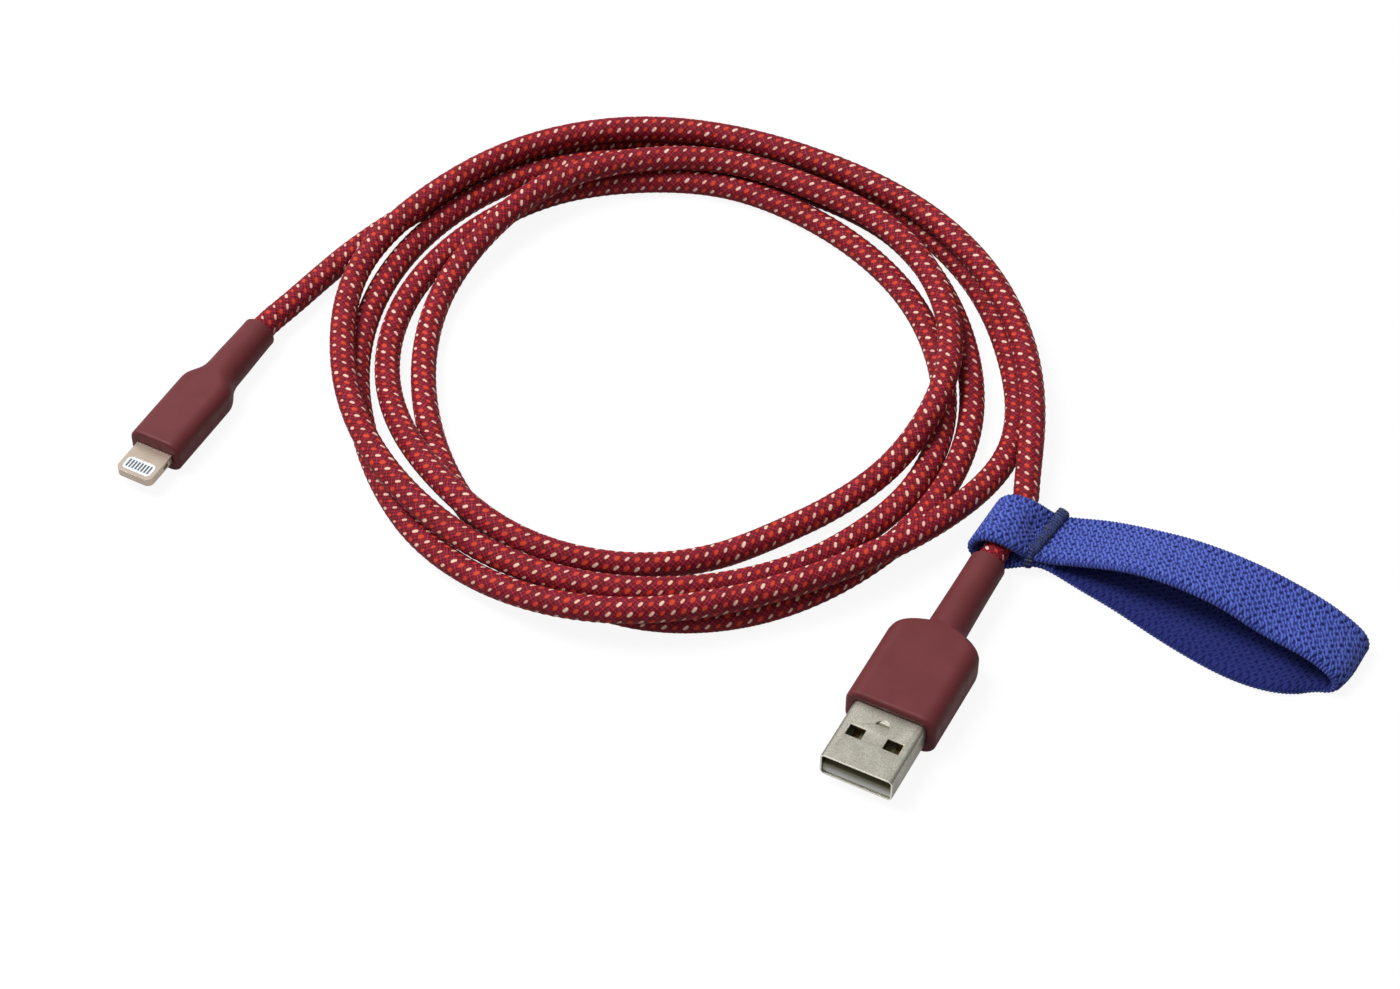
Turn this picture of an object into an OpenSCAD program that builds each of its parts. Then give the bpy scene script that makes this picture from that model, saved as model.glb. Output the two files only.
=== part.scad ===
// Braided charging cable with a charger plug, a slim device plug and an elastic keeper strap.
// The cable lies in a loose coil on a flat surface, z = 0. Every length is in millimetres.

/* [Cord] */
// Outside diameter of the braided cord
cord_d = 4.2; // [4:0.05:4.2]
// Wall of the braided sleeve
sleeve_wall = 0.45; // [0.3:0.05:0.6]
// Diameter of the insulation of one wire
wire_d = 0.9; // [0.7:0.05:0.95]
// Distance of each wire from the cord's axis where the jacket ends
wire_ring_r = 0.85; // [0.75:0.05:1]
// How far the inner jacket stands out of the sleeve inside each plug
jacket_bared = 2.5; // [1:0.1:3]

/* [Charger plug shell] */
// Width of the metal shell
charger_shell_w = 12; // [11.6:0.1:12.4]
// Height of the metal shell
charger_shell_h = 4.5; // [4.3:0.1:4.7]
// Thickness of the shell's sheet metal
charger_shell_wall = 0.3; // [0.25:0.01:0.35]
// Outside corner radius of the shell
charger_shell_corner = 0.8; // [0.5:0.05:1]
// How far the shell stands out of the grip
charger_shell_out = 11.7; // [11:0.1:13]
// How deep the shell is held inside the grip
charger_shell_seat = 6.5; // [5:0.1:7.5]
// Width of each latch window
charger_window_w = 2.6; // [2:0.1:2.8]
// Length of each latch window
charger_window_l = 2.1; // [1.5:0.1:2.4]
// Distance from the shell's mouth to the windows
charger_window_setback = 5.2; // [4.8:0.1:5.6]
// Distance between the centres of the two windows
charger_window_pitch = 6.2; // [5.5:0.1:6.8]
// Width of the punched locking tab
charger_tab_w = 2.2; // [1.6:0.1:2.6]
// Distance from the shell's mouth to the straight edge of the locking tab
charger_tab_setback = 9; // [8.7:0.1:9.2]

/* [Charger plug inside] */
// Depth of the open mouth, from the shell's edge to the insulator
charger_mouth_depth = 8.6; // [8:0.1:8.6]
// Thickness of the insulating tongue
charger_tongue_t = 1.9; // [1.7:0.05:2]
// How far the tongue stops behind the shell's edge
charger_tongue_setback = 0.4; // [0.2:0.1:0.8]
// Width of one contact strip
charger_contact_w = 1; // [0.8:0.05:1.2]
// Thickness of one contact strip
charger_contact_t = 0.25; // [0.15:0.05:0.3]
// Distance of the outer contacts from the middle
charger_contact_outer_y = 3.5; // [3.3:0.1:3.7]
// Distance of the inner contacts from the middle
charger_contact_inner_y = 1; // [0.9:0.05:1.1]
// How far the outer contacts reach toward the mouth from the insulator
charger_contact_outer_reach = 7.4; // [7:0.1:7.8]
// How far the inner contacts reach toward the mouth from the insulator
charger_contact_inner_reach = 6.4; // [6:0.1:6.8]
// Length of the solder tail behind the insulator
charger_contact_tail = 3; // [2:0.1:4]
// Length of the rear shield behind the shell
charger_shield_len = 8.7; // [8:0.1:9.5]
// Length of the crimped barrel that holds the jacket
charger_barrel_len = 3.5; // [2:0.1:4]

/* [Charger plug grip] */
// Width of the moulded grip
charger_grip_w = 15.2; // [14.6:0.1:16]
// Thickness of the moulded grip, which rests on the table
charger_grip_t = 8; // [7.6:0.1:8.4]
// Corner radius of the grip's cross-section
charger_grip_corner = 2.6; // [2:0.1:3]
// Length of the grip at its full width
charger_grip_len = 14.8; // [14.5:0.1:17]
// Length of the rounded shoulders behind the grip
charger_shoulder_len = 4.4; // [4:0.1:5]
// Diameter of the strain relief where it meets the shoulders
charger_relief_d = 6.4; // [6:0.1:6.8]
// Diameter of the strain relief at the cord
charger_relief_end_d = 6; // [5.8:0.1:6.2]
// Length of the strain relief behind the shoulders
charger_relief_len = 16.5; // [15.5:0.1:18]

/* [Device plug blade] */
// Width of the metal blade
blade_w = 6.65; // [6.5:0.05:6.8]
// Thickness of the metal blade
blade_t = 1.5; // [1.4:0.05:1.6]
// How far the blade stands out of the grip
blade_out = 6.5; // [6.2:0.1:7]
// How deep the blade is held inside the grip
blade_seat = 4; // [3.5:0.1:4.5]
// Radius of the blade's two front corners
blade_corner = 1.1; // [0.9:0.05:1.3]
// Width of the insulating window in the blade
insert_w = 5.3; // [5.1:0.05:5.4]
// Length of the insulating window in the blade
insert_l = 2.7; // [2.4:0.1:3]
// Distance from the blade's tip to the window
insert_setback = 0.65; // [0.5:0.05:0.9]
// Corner radius of the window
insert_corner = 0.7; // [0.5:0.05:0.9]
// Thickness of the insulator between the blade's inner walls
insert_core_t = 0.7; // [0.5:0.05:0.8]
// Number of contact pads on each side
pad_count = 8; // [6:1:8]
// Distance between the centres of neighbouring pads
pad_pitch = 0.57; // [0.52:0.01:0.6]
// Width of one contact pad
pad_w = 0.3; // [0.2:0.01:0.36]
// Length of one contact pad
pad_l = 1.7; // [1.4:0.1:1.9]
// Thickness of one contact pad
pad_t = 0.15; // [0.1:0.01:0.2]
// Width of the detent notch in each side edge of the blade
detent_w = 1.2; // [0.8:0.1:1.4]
// Depth of the detent notch
detent_depth = 0.25; // [0.15:0.05:0.3]
// Height of the detent notch between the blade's two faces
detent_h = 0.8; // [0.6:0.1:1]
// Distance from the blade's tip to the middle of the detent notch
detent_setback = 4.6; // [4.4:0.1:4.9]

/* [Device plug inside] */
// Width of the circuit board
board_w = 6; // [5.5:0.1:6.4]
// Length of the circuit board
board_l = 8; // [7.5:0.1:8.5]
// Thickness of the circuit board
board_t = 0.6; // [0.5:0.05:0.7]
// Side of the square control chip
control_chip_w = 3; // [2.5:0.1:3.2]
// Height of the control chip
control_chip_h = 0.65; // [0.5:0.05:0.7]
// Side of the square protection chip
protection_chip_w = 1.8; // [1.4:0.1:2]
// Height of the protection chip
protection_chip_h = 0.6; // [0.5:0.05:0.7]
// Height of the shield can around the board
can_h = 3.7; // [3.5:0.1:3.9]
// Sheet thickness of the shield can
can_wall = 0.2; // [0.15:0.01:0.25]
// Length of each soldered wire end on the board
solder_len = 1; // [0.8:0.1:1.3]

/* [Device plug grip] */
// Width of the moulded grip
device_grip_w = 9.5; // [9.3:0.1:10]
// Thickness of the moulded grip, which rests on the table
device_grip_t = 6.2; // [6:0.1:6.4]
// Corner radius of the grip's cross-section
device_grip_corner = 2.2; // [1.8:0.1:2.6]
// Length of the grip at its full width
device_grip_len = 15; // [14.5:0.1:16]
// Length of the waist between the grip and the strain relief
device_waist_len = 6.5; // [6:0.1:7]
// Diameter of the strain relief where it meets the waist
device_relief_d = 6.2; // [6:0.1:6.2]
// Diameter of the strain relief at the cord
device_relief_end_d = 5.8; // [5.6:0.1:6]
// Length of the strain relief behind the waist
device_relief_len = 9.4; // [8.5:0.1:11]

/* [Strap] */
// Width of the elastic band
band_w = 10.8; // [10.2:0.1:11.2]
// Thickness of the elastic band
band_t = 1.3; // [1.1:0.1:1.4]
// Distance from the charger plug's strain relief to the sewn tab's near edge at the cord
collar_from_relief = 3.05; // [2.4:0.05:3.3]
// Thickness of the sewn tab, two layers of band pressed together
tab_t = 2.4; // [2.2:0.1:2.6]
// Distance from the cord's axis to the end of the sewn tab
tab_reach = 6.3; // [6:0.1:6.5]
// Diameter of one stitch of the seam
stitch_d = 0.5; // [0.4:0.05:0.6]
// Length of one stitch of the seam
stitch_l = 1.5; // [1.2:0.1:1.6]
// Number of stitches in the seam
stitch_count = 9; // [7:1:10]

/* [Hidden] */
$fn = 48;

// Clearance between moulded or pressed pieces that lie inside each other
fit_gap = 0.05;
// Clearance at each end of a slanting wire
wire_gap = 0.2;
// Clearance between the sleeve and the jacket inside it
sleeve_gap = 0.1;
// Running clearance between the strap's collar and the cord
collar_gap = 0.2;
// Clearance between the collar's tab and the start of the loop
fold_gap = 0.3;
// Overshoot that makes a cut pass right through a face
through = 1;

// Both plugs lie flat on the table; the direction that each mouth faces
charger_yaw = -117.5;
device_yaw = -118;
// Where the cord enters each plug's strain relief, X and Y on the table
charger_cord_end = [40.2, -4.4];
device_cord_end = [-78.9, 47.74];
// Height of each plug's axis above the table
charger_axis_z = charger_grip_t / 2;
device_axis_z = device_grip_t / 2;

// Lengths along each plug, measured from the cord end of its relief toward its mouth
charger_shoulder_x = charger_relief_len;
charger_grip_x = charger_shoulder_x + charger_shoulder_len;
charger_front_x = charger_grip_x + charger_grip_len;
charger_mouth_x = charger_front_x + charger_shell_out;
charger_shell_x = charger_front_x - charger_shell_seat;
charger_block_x = charger_mouth_x - charger_mouth_depth;
charger_shield_x = charger_shell_x - charger_shield_len;
charger_barrel_x = charger_shield_x - charger_barrel_len;
charger_tail_x = charger_shell_x - charger_contact_tail;
device_waist_x = device_relief_len;
device_grip_x = device_waist_x + device_waist_len;
device_front_x = device_grip_x + device_grip_len;
device_tip_x = device_front_x + blade_out;
device_blade_x = device_front_x - blade_seat;
device_window_x = device_tip_x - insert_setback - insert_l;
device_board_x = device_blade_x - board_l;

// The shield can round the board and the root of the blade: inner width, and its two ends
can_w = max(board_w, blade_w) + 4 * fit_gap;
can_setback = 1.5;
can_x0 = device_board_x - can_wall - 2 * fit_gap;
can_x1 = device_front_x - can_setback;
// Slabs of the waist: [distance from the strain relief, width]
waist_slabs = [[1, device_relief_d], [4, 7.2], [5.5, 8.9]];
// Distance of each chip from the blade's end of the board
control_chip_setback = 1;
protection_chip_setback = 1.5;
control_chip_x = device_blade_x - control_chip_setback;
protection_chip_x = device_blade_x - protection_chip_setback;
control_chip_z = board_t / 2 + fit_gap / 2 + control_chip_h / 2;
protection_chip_z = -board_t / 2 - fit_gap / 2 - protection_chip_h / 2;

// The sleeve ends a little before the jacket, and the wires start where the jacket ends
jacket_r = cord_d / 2 - sleeve_wall - sleeve_gap;
charger_jacket_in = charger_barrel_x + charger_barrel_len;
charger_sleeve_in = charger_jacket_in - charger_barrel_len - jacket_bared / 2;
device_sleeve_in = device_board_x - fit_gap - 2 * jacket_bared - solder_len;
device_jacket_in = device_sleeve_in + jacket_bared;

// The neck where the charger plug's shoulders meet its strain relief
neck_w = charger_relief_d + 0.6;
neck_h = charger_relief_d + 0.2;
// Steps of the shoulders: [share of their length, share of the widening that is left]
shoulder_steps = [[0, 1], [0.3, 0.95], [0.5, 0.84], [0.78, 0.46], [1, 0]];
// Thickness of the thin slabs that a blended shape is drawn between
slab = 0.1;

// Inner mould and shield around the charger plug's wires
charger_cavity_w = charger_shell_w - 2 * charger_shell_wall;
charger_cavity_h = charger_shell_h - 2 * charger_shell_wall;
charger_tongue_top = -charger_cavity_h / 2 + fit_gap + charger_tongue_t;
charger_contact_z = charger_tongue_top - charger_contact_t / 2;
charger_barrel_r = jacket_r + fit_gap + charger_shell_wall;

// The four wires in the order of the charger plug's contacts: red, white, green, black
wire_colours = ["firebrick", "whitesmoke", "seagreen", "dimgray"];
wire_angles = [45, -45, -135, 135];
charger_contact_ys = [
    charger_contact_outer_y, charger_contact_inner_y,
    -charger_contact_inner_y, -charger_contact_outer_y
];
// The wires spread in a room between the device plug's jacket end and its can
wire_spread = 0.8;
wire_room_r = wire_ring_r + wire_d / 2 + wire_spread;
device_solder_z = board_t / 2 + wire_d / 2 + fit_gap;
device_solder_ys = [1.6, 1.6, -1.6, -1.6];
device_solder_sides = [1, -1, -1, 1];

// The coil: its middle on the table, and the turning between one point and the next
coil_middle = [-8, 43.6];
coil_first_angle = 160;
coil_step = 20;
// Cord centre on the coil, [distance from the middle, height], one turn on each pair of lines,
// wound clockwise from the device plug to the charger plug
coil_points = [
    [62.9, 2.1], [57.6, 2.1], [56, 2.1], [53.5, 2.1], [51.5, 2.1], [50.5, 2.1],
    [51, 2.1], [52.5, 2.1], [54.5, 2.1], [57.5, 2.1], [57, 4.5], [56.5, 6.4],
    [57.5, 6.4], [60.5, 6.4], [60.3, 4.1], [57.5, 2.1], [55, 2.1], [54, 2.1],
    [53.5, 2.1], [52.8, 2.1], [51.5, 2.1], [48.5, 2.1], [46.5, 2.1], [45.5, 2.1],
    [46.5, 2.1], [46.5, 2.1], [47.5, 2.1], [50, 2.1], [52.5, 2.1], [55, 2.1],
    [57.5, 2.1], [57, 2.1], [52, 2.1], [47.5, 2.1], [44.3, 2.1], [43, 2.1],
    [43, 2.9], [43, 5], [44, 6.3], [44, 6.4], [44, 6], [43, 6],
    [44, 6], [44.5, 6.2], [44.5, 6.4], [44, 6.4], [43, 4], [42, 2.1],
    [44.5, 2.1], [48.7, 3.8], [51.5, 6.5], [50, 6.1], [49.2, 3.8], [49.1, 2.1],
    [48.2, 2.1], [46.7, 2.1], [45.3, 2.1], [43.2, 2.1], [41.8, 2.1], [40, 2.1],
    [39.5, 2.1], [40.5, 2.1], [42.5, 2.1], [45.5, 2.1], [48, 2.1], [49.5, 2.1],
    [52.5, 4.1], [56, 6.6], [56, 6], [56, 6.5], [56, 6.4], [56.5, 5.6],
    [57.5, 5.2], [55.3, 6.2], [54.3, 6.2], [52.3, 6.4], [50, 6.4], [49.1, 6.4],
    [50.5, 6.5], [53.2, 6.4], [56.3, 6.1], [60.5, 5.3]
];
// Free points between the device plug and the coil, and between the coil and the charger plug
device_lead = [[-75, 53.7, 2.8], [-71.5, 58.9, 2.4]];
charger_lead = [47.4, 11.8, 4.1];
// How far the cord runs straight out of each plug
charger_straight = 14;
device_straight = 1.9;
// Sides of the swept cord
cord_sides = 8;

// The strap's own directions on the table: away from the cord, and across the band
strap_yaw = -30.5;
// Sideways shift of the sewn tab and of the loop's two layers against the collar
tab_shift = 2.2;
upper_edge_y = -1.5;
start_edge_y = -2;
collar_r = cord_d / 2 + collar_gap + band_t;
collar_mid = collar_from_relief + band_w / 2;
// The collar lies this much nearer to the plug than the sewn tab's own middle
collar_slide = 0.9;
tab_drop = 1.3;
tab_z = charger_axis_z - tab_drop;
tab_y = tab_shift - band_w / 2;
stitch_pitch = 1.2;
stitch_gap = 0.02;
stitch_x = 5.2;
loop_start = tab_reach + fold_gap;
// Middle line of the loop's upper layer, [away from the cord, height]
upper_line = [
    [loop_start, 2.9], [13, 4.1], [19.5, 6.4], [26, 8.1], [33, 8.7], [39, 7.9],
    [43, 7], [48, 5.6], [52, 4.2], [55.5, 2.5], [57.5, band_t / 2]
];
// Middle line of the short stretch where the lower layer comes down to the table
lower_line = [[loop_start, 1.9], [9.5, 1.2], [13, band_t / 2], [14, band_t / 2]];
// Near edge of the lower layer as it lies on the table, [away from the cord, sideways]
lower_edge = [
    [13.5, -2.1], [20, -3.1], [26, -4.3], [35, -6.1], [44.5, -6.9], [51, -5.5], [57, -1.7]
];

// ---------- functions ----------

// Unit vector along v
function unit(v) = v / norm(v);

// A point on a plug's axis, a distance toward its mouth (negative: out along the cord)
function plug_point(cord_end, axis_z, yaw, x) =
    [cord_end.x + x * cos(yaw), cord_end.y + x * sin(yaw), axis_z];
function charger_point(x) = plug_point(charger_cord_end, charger_axis_z, charger_yaw, x);
function device_point(x) = plug_point(device_cord_end, device_axis_z, device_yaw, x);

// The k-th point of the coil
function coil_point(k) =
    let (angle = coil_first_angle - k * coil_step, p = coil_points[k])
    [coil_middle.x + p[0] * cos(angle), coil_middle.y + p[0] * sin(angle), p[1]];

// The whole route of the cord between the ends inside the two plugs
function cord_route(device_in, charger_in) = concat(
    [device_point(device_in)],
    [device_point(-device_straight)],
    device_lead,
    [for (k = [0 : len(coil_points) - 1]) coil_point(k)],
    [charger_lead],
    [charger_point(-charger_straight)],
    [charger_point(charger_in)]
);

// Direction of a route at its i-th point
function route_direction(route, i) =
    let (last = len(route) - 1)
    i == 0 ? unit(route[1] - route[0])
    : i == last ? unit(route[last] - route[last - 1])
    : unit(unit(route[i] - route[i - 1]) + unit(route[i + 1] - route[i]));

// One ring of points round the i-th point of a route
function route_ring(route, i, r) =
    let (
        along = route_direction(route, i),
        side = unit(cross(along, [0, 0, 1])),
        up = cross(side, along)
    )
    [for (k = [0 : cord_sides - 1])
        let (a = 360 * (k + 0.5) / cord_sides)
        route[i] + r * (cos(a) * side + sin(a) * up)];

// Side faces between neighbouring rings, the first ring starting at point number base
function ring_faces(rings, base, outward) = [
    for (i = [0 : rings - 2], k = [0 : cord_sides - 1])
        let (
            n = (k + 1) % cord_sides,
            a = base + i * cord_sides + k,
            b = base + i * cord_sides + n,
            c = base + (i + 1) * cord_sides + n,
            d = base + (i + 1) * cord_sides + k
        )
        outward ? [a, b, c, d] : [a, d, c, b]
];

// Outline of a ribbon of even thickness along a line in a plane
function ribbon(line, t) =
    let (
        last = len(line) - 1,
        across = [for (i = [0 : last])
            let (d = unit(line[min(i + 1, last)] - line[max(i - 1, 0)])) [-d.y, d.x]]
    )
    concat(
        [for (i = [0 : last]) line[i] + across[i] * t / 2],
        [for (i = [last : -1 : 0]) line[i] - across[i] * t / 2]
    );

// ---------- shared shapes ----------

module in_charger() {
    translate(charger_point(0)) rotate([0, 0, charger_yaw]) children();
}

module in_device() {
    translate(device_point(0)) rotate([0, 0, device_yaw]) children();
}

module in_strap() {
    mid = plug_point(charger_cord_end, 0, charger_yaw, -collar_mid);
    translate(mid) rotate([0, 0, strap_yaw]) children();
}

// A rectangle with round corners about the origin
module rounded_rect(w, h, r) {
    square([w - 2 * r, h], center = true);
    square([w, h - 2 * r], center = true);
    for (sx = [-1, 1], sy = [-1, 1])
        translate([sx * (w / 2 - r), sy * (h / 2 - r)]) circle(r);
}

// A bar along X from x0 to x1, w wide in Y and h high in Z
module bar(x0, x1, w, h, z = 0, y = 0) {
    translate([x0, y - w / 2, z - h / 2]) cube([x1 - x0, w, h]);
}

// The same bar with round edges
module rounded_bar(x0, x1, w, h, r) {
    translate([x0, 0, 0]) rotate([90, 0, 90]) linear_extrude(x1 - x0) rounded_rect(w, h, r);
}

// A round rod along X
module rod(x0, x1, r) {
    translate([x0, 0, 0]) rotate([0, 90, 0]) cylinder(r = r, h = x1 - x0);
}

// A strain relief, a little thinner at the cord's end
module relief(length, end_d, d) {
    rotate([0, 90, 0]) cylinder(d1 = end_d, d2 = d, h = length);
}

// A straight wire between two points
module wire(a, b, d = wire_d) {
    v = b - a;
    translate(a)
        rotate([0, acos(v.z / norm(v)), atan2(v.y, v.x)])
            cylinder(d = d, h = norm(v), $fn = 24);
}

// A tube swept along a route; without an inner radius it is solid
module swept_cord(route, r, inner_r = 0) {
    rings = len(route);
    outer = [for (i = [0 : rings - 1]) each route_ring(route, i, r)];
    inner = inner_r > 0 ? [for (i = [0 : rings - 1]) each route_ring(route, i, inner_r)] : [];
    base = rings * cord_sides;
    end = base - cord_sides;
    closed_ends = [
        [for (k = [cord_sides - 1 : -1 : 0]) k],
        [for (k = [0 : cord_sides - 1]) end + k]
    ];
    open_ends = [
        for (k = [0 : cord_sides - 1])
            let (n = (k + 1) % cord_sides)
            each [[n, k, base + k, base + n],
                  [end + k, end + n, base + end + n, base + end + k]]
    ];
    polyhedron(
        points = concat(outer, inner),
        faces = concat(
            ring_faces(rings, 0, true),
            inner_r > 0 ? ring_faces(rings, base, false) : [],
            inner_r > 0 ? open_ends : closed_ends
        ),
        convexity = 10
    );
}

// ---------- charger plug ----------

// The latch windows, cut right through the top and bottom of the shell
module charger_windows() {
    for (s = [-1, 1])
        bar(charger_mouth_x - charger_window_setback - charger_window_l,
            charger_mouth_x - charger_window_setback,
            charger_window_w, charger_shell_h + 2 * through, 0, s * charger_window_pitch / 2);
}

// The half-round opening of the punched locking tab in the top of the shell
module charger_tab_opening() {
    translate([charger_mouth_x - charger_tab_setback, 0, 0])
        intersection() {
            cylinder(d = charger_tab_w, h = charger_shell_h);
            translate([-charger_tab_w, -charger_tab_w, 0])
                cube([charger_tab_w, 2 * charger_tab_w, charger_shell_h]);
        }
}

module charger_shell() {
    color("silver") in_charger() difference() {
        rounded_bar(charger_shell_x, charger_mouth_x, charger_shell_w, charger_shell_h,
                    charger_shell_corner);
        rounded_bar(charger_shell_x - through, charger_mouth_x + through,
                    charger_cavity_w, charger_cavity_h,
                    charger_shell_corner - charger_shell_wall);
        charger_windows();
        charger_tab_opening();
    }
}

// The room of one contact strip, from its solder tail to its tip
module charger_contact_room(y, reach, gap) {
    bar(charger_tail_x - gap, charger_block_x + reach + gap,
        charger_contact_w + 2 * gap, charger_contact_t + 2 * gap, charger_contact_z, y);
}

function charger_reach(i) =
    i == 0 || i == 3 ? charger_contact_outer_reach : charger_contact_inner_reach;

module charger_insulator() {
    color("whitesmoke") in_charger() difference() {
        union() {
            charger_insulator_bar(charger_block_x);
            intersection() {
                charger_insulator_bar(charger_mouth_x - charger_tongue_setback);
                bar(charger_shell_x, charger_mouth_x, charger_shell_w, charger_tongue_t,
                    charger_tongue_top - charger_tongue_t / 2);
            }
        }
        for (i = [0 : 3])
            charger_contact_room(charger_contact_ys[i], charger_reach(i), fit_gap / 2);
    }
}

// A bar that fills the shell's inside, from its back to x1
module charger_insulator_bar(x1) {
    rounded_bar(charger_shell_x, x1, charger_cavity_w - 2 * fit_gap,
                charger_cavity_h - 2 * fit_gap, charger_shell_corner - charger_shell_wall);
}

module charger_contact(i) {
    color("goldenrod") in_charger()
        charger_contact_room(charger_contact_ys[i], charger_reach(i), 0);
}

module charger_rear_shield() {
    color("gainsboro") in_charger() difference() {
        union() {
            rounded_bar(charger_shield_x, charger_shell_x - fit_gap, charger_shell_w,
                        charger_shell_h, charger_shell_corner);
            rod(charger_barrel_x, charger_shield_x, charger_barrel_r);
        }
        rounded_bar(charger_shield_x + charger_shell_wall, charger_shell_x + through,
                    charger_cavity_w, charger_cavity_h,
                    charger_shell_corner - charger_shell_wall);
        rod(charger_barrel_x - through, charger_shield_x + through, jacket_r + fit_gap);
    }
}

// Start and end of the charger plug's i-th wire
function charger_wire_start(i) =
    [charger_jacket_in + wire_gap, wire_ring_r * cos(wire_angles[i]),
     wire_ring_r * sin(wire_angles[i])];
function charger_wire_end(i) =
    [charger_tail_x - wire_gap, charger_contact_ys[i], charger_contact_z];

module charger_inner_mould() {
    x0 = charger_shield_x + charger_shell_wall + fit_gap;
    color("ivory") in_charger() difference() {
        rounded_bar(x0, charger_shell_x - fit_gap,
                    charger_cavity_w - 2 * fit_gap, charger_cavity_h - 2 * fit_gap,
                    charger_shell_corner - charger_shell_wall);
        for (i = [0 : 3]) {
            charger_contact_room(charger_contact_ys[i], charger_reach(i), fit_gap);
            wire(charger_wire_start(i), charger_wire_end(i), wire_d + 2 * fit_gap);
        }
    }
}

module charger_wire(i) {
    color(wire_colours[i]) in_charger() wire(charger_wire_start(i), charger_wire_end(i));
}

module charger_grip() {
    color("brown") in_charger() difference() {
        union() {
            rounded_bar(charger_grip_x, charger_front_x, charger_grip_w, charger_grip_t,
                        charger_grip_corner);
            charger_shoulders();
            rod(charger_shoulder_x, charger_grip_x, charger_relief_d / 2);
            relief(charger_shoulder_x, charger_relief_end_d, charger_relief_d);
        }
        rod(-through, charger_barrel_x, cord_d / 2 + fit_gap);
        rod(charger_barrel_x - through, charger_shield_x + through,
            charger_barrel_r + fit_gap);
        rounded_bar(charger_shield_x - fit_gap, charger_front_x + through,
                    charger_shell_w + 2 * fit_gap, charger_shell_h + 2 * fit_gap,
                    charger_shell_corner + fit_gap);
    }
}

// The shoulders slant from the neck at the strain relief and round off into the full grip
module charger_shoulders() {
    hull()
        for (step = shoulder_steps) {
            x = charger_grip_x - charger_shoulder_len * step[0];
            w = neck_w + (charger_grip_w - neck_w) * step[1];
            h = neck_h + (charger_grip_t - neck_h) * step[1];
            rounded_bar(x, x + slab, w, h, min(charger_grip_corner, h / 2 - slab), $fn = 32);
        }
}

// ---------- cord ----------

module braided_sleeve() {
    color("firebrick")
        swept_cord(cord_route(device_sleeve_in, charger_sleeve_in), cord_d / 2,
                   cord_d / 2 - sleeve_wall);
}

module inner_jacket() {
    color("lightgray")
        swept_cord(cord_route(device_jacket_in, charger_jacket_in), jacket_r);
}

// ---------- device plug ----------

// Outline of the blade seen from above: square at the back, round at the two front corners
module blade_outline() {
    length = device_tip_x - device_blade_x;
    translate([device_blade_x, -blade_w / 2]) square([length - blade_corner, blade_w]);
    translate([device_blade_x, -blade_w / 2 + blade_corner])
        square([length, blade_w - 2 * blade_corner]);
    for (s = [-1, 1])
        translate([device_tip_x - blade_corner, s * (blade_w / 2 - blade_corner)])
            circle(blade_corner);
}

// The window through the blade, grown by a gap
module blade_window(gap, h) {
    translate([device_window_x + insert_l / 2, 0, -h / 2])
        linear_extrude(h)
            rounded_rect(insert_l + 2 * gap, insert_w + 2 * gap, insert_corner);
}

module device_blade_frame() {
    color("tan") in_device() difference() {
        translate([0, 0, -blade_t / 2]) linear_extrude(blade_t) blade_outline();
        blade_window(fit_gap / 2, blade_t + 2 * through);
        bar(device_blade_x - through, device_window_x + insert_l / 2, insert_w,
            insert_core_t + fit_gap);
        detents();
    }
}

// The two detent notches in the middle of the blade's side edges
module detents() {
    for (s = [-1, 1])
        bar(device_tip_x - detent_setback - detent_w / 2,
            device_tip_x - detent_setback + detent_w / 2,
            2 * detent_depth, detent_h, 0, s * blade_w / 2);
}

// The pads of one face; side is 1 for the upper face and -1 for the lower one
module device_pads(side, gap) {
    for (i = [0 : pad_count - 1])
        bar(device_window_x + insert_l / 2 - pad_l / 2 - gap,
            device_window_x + insert_l / 2 + pad_l / 2 + gap,
            pad_w + 2 * gap, pad_t + 2 * gap,
            side * (blade_t / 2 - pad_t / 2), (i - (pad_count - 1) / 2) * pad_pitch);
}

module device_contact_insert() {
    color("white") in_device() difference() {
        union() {
            blade_window(0, blade_t);
            bar(device_blade_x, device_window_x + insert_l / 2, insert_w - fit_gap,
                insert_core_t);
        }
        device_pads(1, fit_gap / 5);
        device_pads(-1, fit_gap / 5);
    }
}

module device_contacts(side) {
    color("slategray") in_device() device_pads(side, 0);
}

module device_circuit_board() {
    color("darkgreen") in_device()
        bar(device_board_x, device_blade_x - fit_gap, board_w, board_t);
}

module device_control_chip() {
    color("black") in_device()
        bar(control_chip_x - control_chip_w, control_chip_x, control_chip_w, control_chip_h,
            control_chip_z);
}

module device_protection_chip() {
    color("black") in_device()
        bar(protection_chip_x - protection_chip_w, protection_chip_x,
            protection_chip_w, protection_chip_h, protection_chip_z);
}

module device_shield_can() {
    color("silver") in_device() difference() {
        bar(can_x0, can_x1, can_w + 2 * can_wall, can_h);
        bar(can_x0 + can_wall, can_x1 - can_wall, can_w, can_h - 2 * can_wall);
        bar(can_x1 - can_wall - through, can_x1 + through, blade_w + 2 * fit_gap,
            blade_t + 2 * fit_gap);
        for (i = [0 : 3])
            wire(device_wire_start(i), device_wire_end(i), wire_d + 2 * fit_gap);
    }
}

// Start and end of the device plug's i-th wire
function device_wire_start(i) =
    [device_jacket_in + wire_gap, wire_ring_r * cos(wire_angles[i]),
     wire_ring_r * sin(wire_angles[i])];
function device_wire_end(i) =
    [device_board_x + solder_len, device_solder_ys[i],
     device_solder_sides[i] * device_solder_z];

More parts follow.
